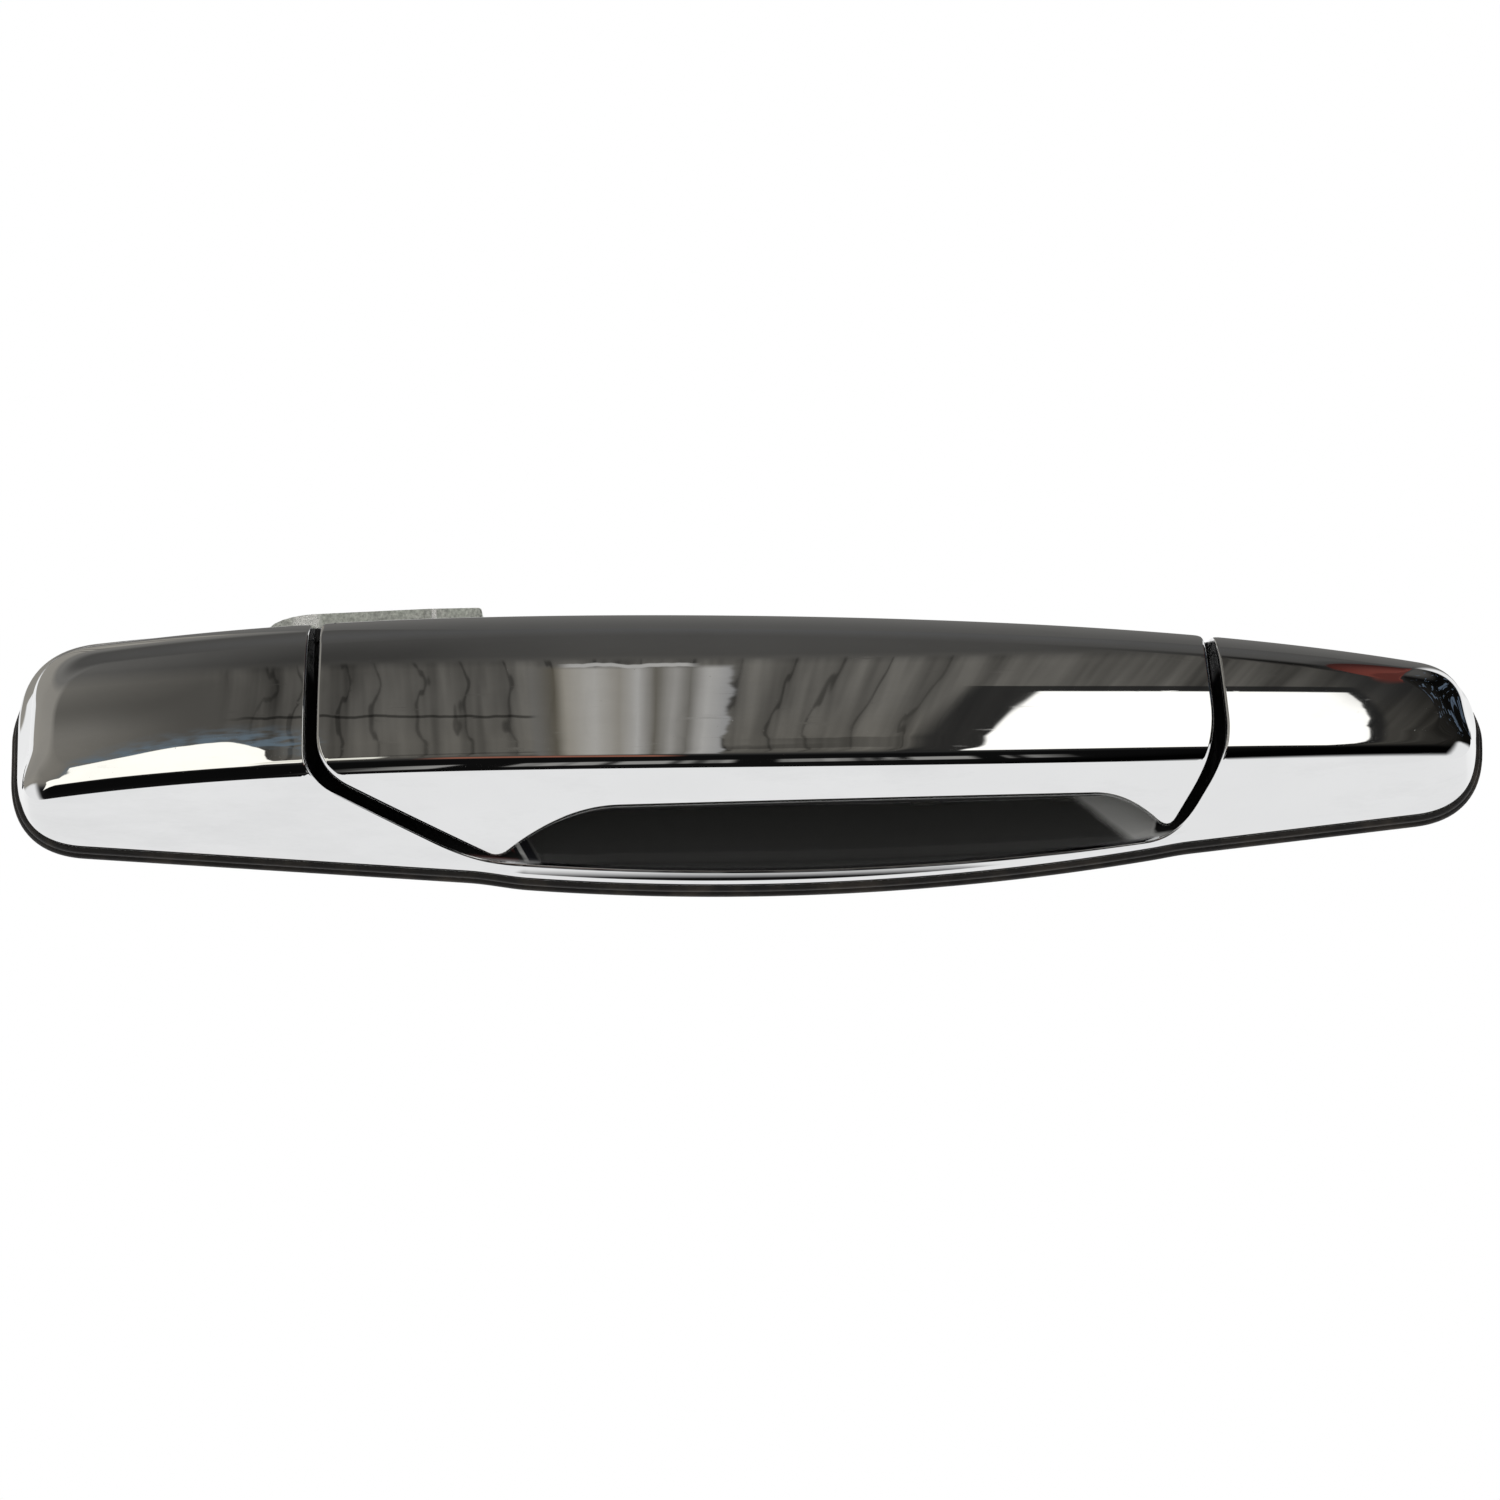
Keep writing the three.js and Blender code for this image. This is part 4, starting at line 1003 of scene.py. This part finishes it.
# ------------------------------------------------------------------ stage
class Studio(Nodes):
    """The world's nodes: what the plating reflects, drawn in angles that are kept in degrees.

    azimuth turns round the vertical, elevation is up from level, across is away from the middle plane,
    and tilt is how far up a direction points when it is looked at from the side.
    """

    def __init__(self, world):
        super().__init__(world)
        axes = self.new("ShaderNodeSeparateXYZ")
        self.link(self.new("ShaderNodeTexCoord").outputs["Generated"], axes.inputs[0])
        self.dx, self.dy, self.dz = axes.outputs
        ahead = self.times(self.dy, -1.0)
        self.azimuth = self.degrees("ARCTAN2", self.dx, ahead)
        self.elevation = self.degrees("ARCSINE", self.dz)
        self.across = self.degrees("ARCSINE", self.dx)
        self.tilt = self.degrees("ARCTAN2", self.dz, ahead)
        self.wobble = self.less(self.drift(0.9, 1.0, 0.0), 0.5)

        # the folds bow outwards, away from level
        bow = self.maths("POWER", self.times(self.less(self.elevation, 16.0), 0.04), 2.0)
        self.bowed = self.times(self.across, self.plus(1.0, 0.035, bow))
        self.fold = self.grain(0.8, self.bowed, self.times(self.elevation, 0.006), 3.0, 0.65)
        self.shade = self.less(self.fold, 0.5)

    def degrees(self, *turn):
        return self.times(self.maths(*turn), 180.0 / math.pi)

    def step(self, v, low, high):
        return self.spread(v, low, high, kind="SMOOTHSTEP")

    def inside(self, v, low, high, soft):
        return self.times(self.step(v, low - soft, low), self.step(v, high + soft, high))

    def within(self, v, half, soft):
        """1 where v is nearer to zero than half, 0 from soft on."""
        return self.step(self.size(v), soft, half)

    def grain(self, scale, sideways, upward, detail, rough=0.5):
        """Noise over two values."""
        spot = self.fill(self.new("ShaderNodeCombineXYZ"), {0: sideways, 1: upward})
        node = self.new("ShaderNodeTexNoise", noise_dimensions="2D")
        kind = {"Scale": scale, "Detail": detail, "Roughness": rough, "Vector": spot.outputs[0]}
        return self.fill(node, kind).outputs["Fac"]

    def drift(self, scale, along, up, detail=2.0):
        """Noise over the sideways angle and the elevation."""
        return self.grain(scale, self.times(self.across, along), self.times(self.elevation, up), detail)

    def ramp(self, stops, v, low, high):
        node = self.fill(self.new("ShaderNodeValToRGB"), {0: self.spread(v, low, high)})
        elements = node.color_ramp.elements
        while len(elements) < len(stops):
            elements.new(0.5)
        for element, (at, tone) in zip(elements, stops):
            element.position = (at - low) / (high - low)
            element.color = tone
        return node.outputs[0]

    def darken(self, tone, share):
        return self.times(tone, self.less(1.0, share))

    def light(self, colour):
        return self.fill(self.new("ShaderNodeBackground"), {"Color": colour, "Strength": 1.0}).outputs[0]


def front_wall(s):
    """The wall in front: tone by elevation and by azimuth, hung with creased folds."""
    by_height = s.ramp(
        [
            (-90, grey(0.98)), (-83, grey(0.95)), (-78, grey(0.86)), (-74, grey(0.006)), (-30, grey(0.005)),
            (-24, grey(0.02)), (-12, grey(0.1, 0.06)), (4, grey(0.116, 0.06)), (24, grey(0.108, 0.05)),
            (45, grey(0.108, 0.05)), (51, grey(0.068, 0.03)), (70, grey(0.082, 0.02)), (90, grey(0.1)),
        ],
        s.elevation, -90.0, 90.0,
    )
    by_side = s.ramp(
        [
            (-110, grey(0.95)), (-92, grey(0.88)), (-50, grey(0.85)), (-36, grey(0.52)), (-31, grey(0.38)),
            (-25, grey(0.25)), (-18, grey(0.26)), (-14, grey(0.32)), (-8, grey(0.38)), (0, grey(0.38)),
            (12, grey(0.35)), (19, grey(0.25)), (22.5, grey(0.16)), (25, grey(0.05)), (60, grey(0.012)),
        ],
        s.azimuth, -120.0, 80.0,
    )
    hung = s.times(s.step(s.elevation, -20.0, -6.0), s.step(s.elevation, 50.0, 47.0),
                   s.step(s.across, -19.0, -17.0))
    sway = s.less(s.drift(0.035, 1.4, 1.0, 1.0), 0.5)
    pleat = s.maths("PINGPONG", s.plus(s.plus(s.bowed, 1.6, s.fold), 1.6, sway), 0.75)
    left_side = s.step(s.across, -19.0, -15.0)
    crease = s.times(s.step(pleat, 0.1, 0.03), s.step(s.across, 8.0, 4.0), left_side)
    tone = s.plus(s.plus(1.0, 2.0, s.times(s.shade, hung)), 0.25, s.times(hung, s.less(pleat, 0.4)))
    tone = s.darken(tone, s.times(crease, hung, 0.5))
    base_line = s.within(s.plus(s.plus(s.elevation, -0.25, s.across), -3.0, s.wobble), 0.7, 1.6)
    tone = s.darken(tone, s.times(base_line, s.step(s.across, 6.0, 4.0), left_side, 0.35))
    rail_up = s.less(s.elevation, s.plus(13.8, -0.44, s.across))
    rail = s.times(s.within(s.plus(rail_up, 3.0, s.wobble), 0.4, 1.1), s.step(s.across, -7.2, -7.6),
                   s.step(s.across, -18.6, -17.0))
    tone = s.darken(tone, s.times(rail, 0.62))

    side_tone = s.times(by_side, 1.0 / 0.36)
    side_tone = s.mix(s.step(s.elevation, 52.0, 64.0), side_tone, grey(1.0))
    far_left = s.times(s.step(s.across, -19.0, -25.0), s.step(s.elevation, 36.0, 18.0), 0.5)
    side_tone = s.mix(far_left, side_tone, grey(2.6))
    side_tone = s.mix(s.step(s.elevation, -70.0, -76.0), side_tone, grey(1.0))
    scaled = s.fill(s.new("ShaderNodeVectorMath", operation="MULTIPLY"), {0: by_height, 1: side_tone})
    toned = s.new("ShaderNodeVectorMath", operation="SCALE")
    return s.fill(toned, {0: scaled.outputs[0], "Scale": tone}).outputs[0]


def blue_shade(s, room):
    """A mottled blue shade low on the left."""
    mottled = s.step(s.drift(1.1, 1.0, 0.35, 5.0), 0.28, 0.66)
    over = s.less(s.elevation, s.plus(9.0, -0.4, s.maths("POWER", s.add(s.across, 18.4), 2.0)))
    haze = s.times(s.inside(s.across, -22.5, -15.6, 1.2), s.step(over, 11.0, 1.0), s.step(over, -6.0, -2.0))
    return s.mix(s.times(haze, mottled, 0.85), room, rgba((0.13, 0.175, 0.215)))


def draped_stand(s, room):
    """The draped stand in the middle, ragged down its right side, with a pale hem over it."""
    ragged = s.times(s.less(s.drift(0.12, 0.0, 1.0, 3.0), 0.5), 0.9)
    drape = s.times(s.step(s.bowed, -7.75, -7.35), s.step(s.add(s.across, ragged), -0.75, -0.95),
                    s.step(s.elevation, 46.0, 43.0), s.step(s.elevation, -22.0, -15.0))
    cloth = s.ramp(
        [
            (-8.0, grey(0.1)), (-7.5, grey(0.15, 0.03)), (-6.8, grey(0.09, 0.12)), (-6.4, grey(0.3, 0.07)),
            (-5.4, grey(0.45, 0.03)), (-4.7, grey(0.29, 0.06)), (-4.0, grey(0.46, 0.02)),
            (-3.4, grey(0.12, 0.08)), (-2.8, grey(0.34, 0.03)), (-2.3, grey(0.16, 0.05)),
            (-1.6, grey(0.45, 0.02)), (-0.8, grey(0.32)),
        ],
        s.plus(s.bowed, 0.5, s.shade), -10.0, 0.0,
    )
    room = s.mix(s.times(drape, 0.85), room, cloth)
    hem = s.within(s.less(s.less(s.elevation, 45.5), s.times(s.wobble, 4.0)), 0.6, 1.3)
    return s.mix(s.times(hem, s.inside(s.across, -5.8, -2.4, 0.6)), room, grey(0.42, 0.02))


def light_cards(s, room):
    """A long card on the right behind a leaning dark frame, and a lens-shaped one low on the left."""
    lean = s.plus(s.plus(s.across, -0.03, s.elevation), 0.6, s.wobble)
    over_top = s.less(s.elevation, s.plus(31.0, -0.33, s.across))
    frame_zone = s.times(s.step(lean, 5.4, 6.4), s.step(s.azimuth, 22.6, 22.2),
                         s.step(over_top, 3.2, 2.6), s.step(s.elevation, -30.0, -16.0))
    room = s.mix(s.times(frame_zone, 0.9), room, grey(0.016))
    nick = s.times(s.less(s.drift(0.13, 0.3, 1.0, 3.0), 0.5), 0.5)
    card = s.times(s.step(lean, 8.2, 8.45), s.step(s.add(s.azimuth, nick), 21.85, 21.78),
                   s.step(over_top, 0.3, -0.3), s.step(s.elevation, -19.0, -17.0))
    room = s.mix(card, room, rgba((1.3, 1.28, 1.22)))

    from_mid = s.add(s.across, 18.3)
    crown = s.plus(9.3, -2.6, s.maths("POWER", s.maths("MAXIMUM", from_mid, 0.0), 2.0))
    crown = s.plus(crown, -0.4, s.maths("POWER", s.maths("MINIMUM", from_mid, 0.0), 2.0))
    sole = s.plus(-21.0, -2.2, s.maths("MAXIMUM", s.less(-19.0, s.across), 0.0))
    lens = s.times(s.step(s.less(s.elevation, s.plus(crown, 0.9, s.wobble)), 0.25, -0.25),
                   s.step(s.across, -25.5, -25.0), s.step(s.across, -15.4, -15.8),
                   s.step(s.less(s.elevation, sole), -1.5, 1.0))
    tail = s.times(s.inside(s.across, -16.4, -14.7, 0.3), s.inside(s.elevation, -17.0, -3.5, 1.0))
    return s.mix(s.maths("MAXIMUM", lens, tail), room, rgba((1.25, 1.22, 1.12)))


def floor_lines(s, room):
    """Thin pale and copper lines where the wall meets the floor."""
    line = s.times(s.inside(s.across, -16.0, -12.6, 0.5), s.inside(s.elevation, -13.0, -6.0, 2.0))
    room = s.mix(line, room, rgba((0.9, 0.88, 0.78)))
    rising = s.plus(s.elevation, 0.8, s.across)
    copper = s.times(s.inside(s.across, -9.5, -3.2, 1.5), s.inside(rising, -32.0, -27.0, 2.0))
    room = s.mix(s.times(copper, 0.9), room, rgba((0.3, 0.12, 0.08)))
    falling = s.plus(s.elevation, -0.5, s.across)
    low = s.times(s.inside(s.across, -8.0, 9.0, 3.0), s.inside(falling, -58.0, -50.0, 3.0))
    return s.mix(s.times(low, s.step(s.drift(0.5, 1.0, 0.0), 0.42, 0.55)), room, grey(0.3, 0.02))


def rest_of_studio(s, room, turned):
    """A pale studio behind and below, dark overhead."""
    overhead = s.times(s.step(s.elevation, 14.0, 20.0), s.step(s.size(s.dx), 0.4, 0.3))
    canopy = s.mix(s.step(s.elevation, 85.0, 25.0), grey(0.1, 0.02), grey(0.15, 0.02))
    behind = s.mix(s.step(s.elevation, -40.0, -60.0), grey(0.94), grey(0.97))
    lifted = s.times(s.step(s.elevation, 18.0, 30.0), s.step(s.dx, -0.1, -0.25))
    back_half = s.step(s.plus(turned, -1.5, lifted), -0.02, 0.06)
    return s.mix(back_half, room, s.mix(overhead, behind, canopy))


def red_lamp(s, room, turned):
    """A red lamp in a dark halo, high on the right, with pale specks beyond it."""
    off = s.less(s.across, 19.6)
    sideways = s.maths("DIVIDE", off, 2.5)
    upward = s.maths("DIVIDE", s.less(s.tilt, s.plus(70.0, -8.0, off)), 33.0)
    away = s.maths("SQRT", s.plus(s.maths("POWER", sideways, 2.0), 1.0, s.maths("POWER", upward, 2.0)))
    shell = s.mix(s.step(sideways, -0.9, 0.2), rgba((0.05, 0.012, 0.01)), rgba((0.17, 0.045, 0.035)))
    patches = s.step(s.drift(0.5, 1.0, 0.03), 0.5, 0.62)
    glow = s.mix(s.times(patches, 0.5), shell, rgba((0.05, 0.015, 0.014)))
    room = s.mix(s.times(s.step(away, 1.5, 1.05), 0.5), room, grey(0.03))
    room = s.mix(s.times(s.step(away, 1.02, 0.93), 0.92), room, glow)
    specks = s.times(s.step(s.drift(0.3, 1.0, 0.5), 0.62, 0.66), s.inside(s.across, 26.0, 60.0, 2.0),
                     s.step(turned, 0.0, -0.05), s.inside(s.elevation, 12.0, 60.0, 3.0), 0.6)
    return s.mix(specks, room, rgba((0.14, 0.19, 0.26)))


def studio_world():
    """White for the camera, pale soft light, and for the plating a dark room with pale cards in front."""
    world = bpy.data.worlds.new("studio")
    bpy.context.scene.world = world
    s = Studio(world)
    turned = s.plus(s.plus(s.dy, -1.0, s.maths("MAXIMUM", s.dx, 0.0)), 0.7, s.maths("MINIMUM", s.dx, 0.0))
    room = front_wall(s)
    for shape in (blue_shade, draped_stand, light_cards, floor_lines):
        room = shape(s, room)
    room = rest_of_studio(s, room, turned)
    room = red_lamp(s, room, turned)
    beside = s.times(s.step(s.size(s.azimuth), 34.0, 46.0), s.step(s.elevation, -6.0, -16.0))
    room = s.mix(beside, room, grey(0.9))

    ray = s.new("ShaderNodeLightPath").outputs
    soft = s.mix(s.step(s.dz, -0.3, 0.6), grey(0.86), grey(1.0))
    lit = s.light(s.mix(ray["Is Glossy Ray"], soft, room))
    choose = s.fill(s.new("ShaderNodeMixShader"), {0: ray["Is Camera Ray"], 1: lit, 2: s.light(grey(1.0))})
    s.link(choose.outputs[0], s.new("ShaderNodeOutputWorld").inputs["Surface"])


class HANDLE_OT_stage(bpy.types.Operator):
    """Sets up the pale floor, the studio light round the handle, and the camera"""
    bl_idname = "handle.stage"
    bl_label = "Stage"

    def execute(self, context):
        stage = context.scene.handle_stage
        studio_world()

        floor_mesh = bpy.data.meshes.new("floor")
        half, low = 3.0, -stage.floor_drop
        corners = [(-half, -half, low), (half, -half, low), (half, half, low), (-half, half, low)]
        floor_mesh.from_pydata(corners, [], [(0, 1, 2, 3)])
        floor = bpy.data.objects.new("floor", floor_mesh)
        context.scene.collection.objects.link(floor)
        tone = Finish("floor paper")
        grain = tone.noise(300.0, 2.0, 0.5)
        paper = tone.mix(grain, rgba((0.82, 0.82, 0.81)), rgba((0.86, 0.86, 0.85)))
        floor_mesh.materials.append(tone.set(color=paper, roughness=0.9))
        floor.visible_glossy = False

        lamp = bpy.data.lights.new("soft key", "AREA")
        lamp.shape = "RECTANGLE"
        lamp.size, lamp.size_y = 1.2, 0.5
        lamp.energy = 6.0
        key = bpy.data.objects.new("soft key", lamp)
        key.location = (-0.3, -0.5, 1.1)
        key.rotation_euler = (Vector((0, 0, 0)) - key.location).to_track_quat("-Z", "Y").to_euler()
        key.visible_glossy = False
        context.scene.collection.objects.link(key)

        tilt = stage.camera_tilt
        target = Vector((0.0, -0.015, 0.0))
        looking = Vector((0.0, math.cos(tilt), -math.sin(tilt)))
        lens = bpy.data.cameras.new("camera")
        lens.sensor_width = 36.0
        lens.lens = lens.sensor_width * stage.camera_distance / VIEW_WIDTH
        lens.dof.use_dof = False
        camera = bpy.data.objects.new("camera", lens)
        camera.location = target - looking * stage.camera_distance
        camera.rotation_euler = looking.to_track_quat("-Z", "Y").to_euler()
        context.scene.collection.objects.link(camera)
        context.scene.camera = camera
        context.scene.view_settings.view_transform = "Standard"
        return {"FINISHED"}


# ------------------------------------------------------------------ panel and registration
class HANDLE_PT_build(bpy.types.Panel):
    bl_label = "Lift-up door handle"
    bl_idname = "HANDLE_PT_build"
    bl_space_type = "VIEW_3D"
    bl_region_type = "UI"
    bl_category = "Handle"

    def draw(self, context):
        layout = self.layout
        for group in (context.scene.handle_sizes, context.scene.handle_finish, context.scene.handle_stage):
            box = layout.box()
            for key in group.__annotations__:
                box.prop(group, key)
        for operator in OPERATORS:
            layout.operator(operator.bl_idname)


OPERATORS = (HANDLE_OT_housing, HANDLE_OT_paddle, HANDLE_OT_gasket, HANDLE_OT_mechanism, HANDLE_OT_stage)
CLASSES = (HandleSizes, HandleFinish, HandleStage, *OPERATORS, HANDLE_PT_build)


def register():
    for cls in CLASSES:
        bpy.utils.register_class(cls)
    bpy.types.Scene.handle_sizes = bpy.props.PointerProperty(type=HandleSizes)
    bpy.types.Scene.handle_finish = bpy.props.PointerProperty(type=HandleFinish)
    bpy.types.Scene.handle_stage = bpy.props.PointerProperty(type=HandleStage)


def unregister():
    del bpy.types.Scene.handle_sizes
    del bpy.types.Scene.handle_finish
    del bpy.types.Scene.handle_stage
    for cls in reversed(CLASSES):
        bpy.utils.unregister_class(cls)


def main():
    register()
    bpy.ops.handle.housing()
    bpy.ops.handle.paddle()
    bpy.ops.handle.gasket()
    bpy.ops.handle.mechanism()
    bpy.ops.handle.stage()


if __name__ == "__main__":
    main()
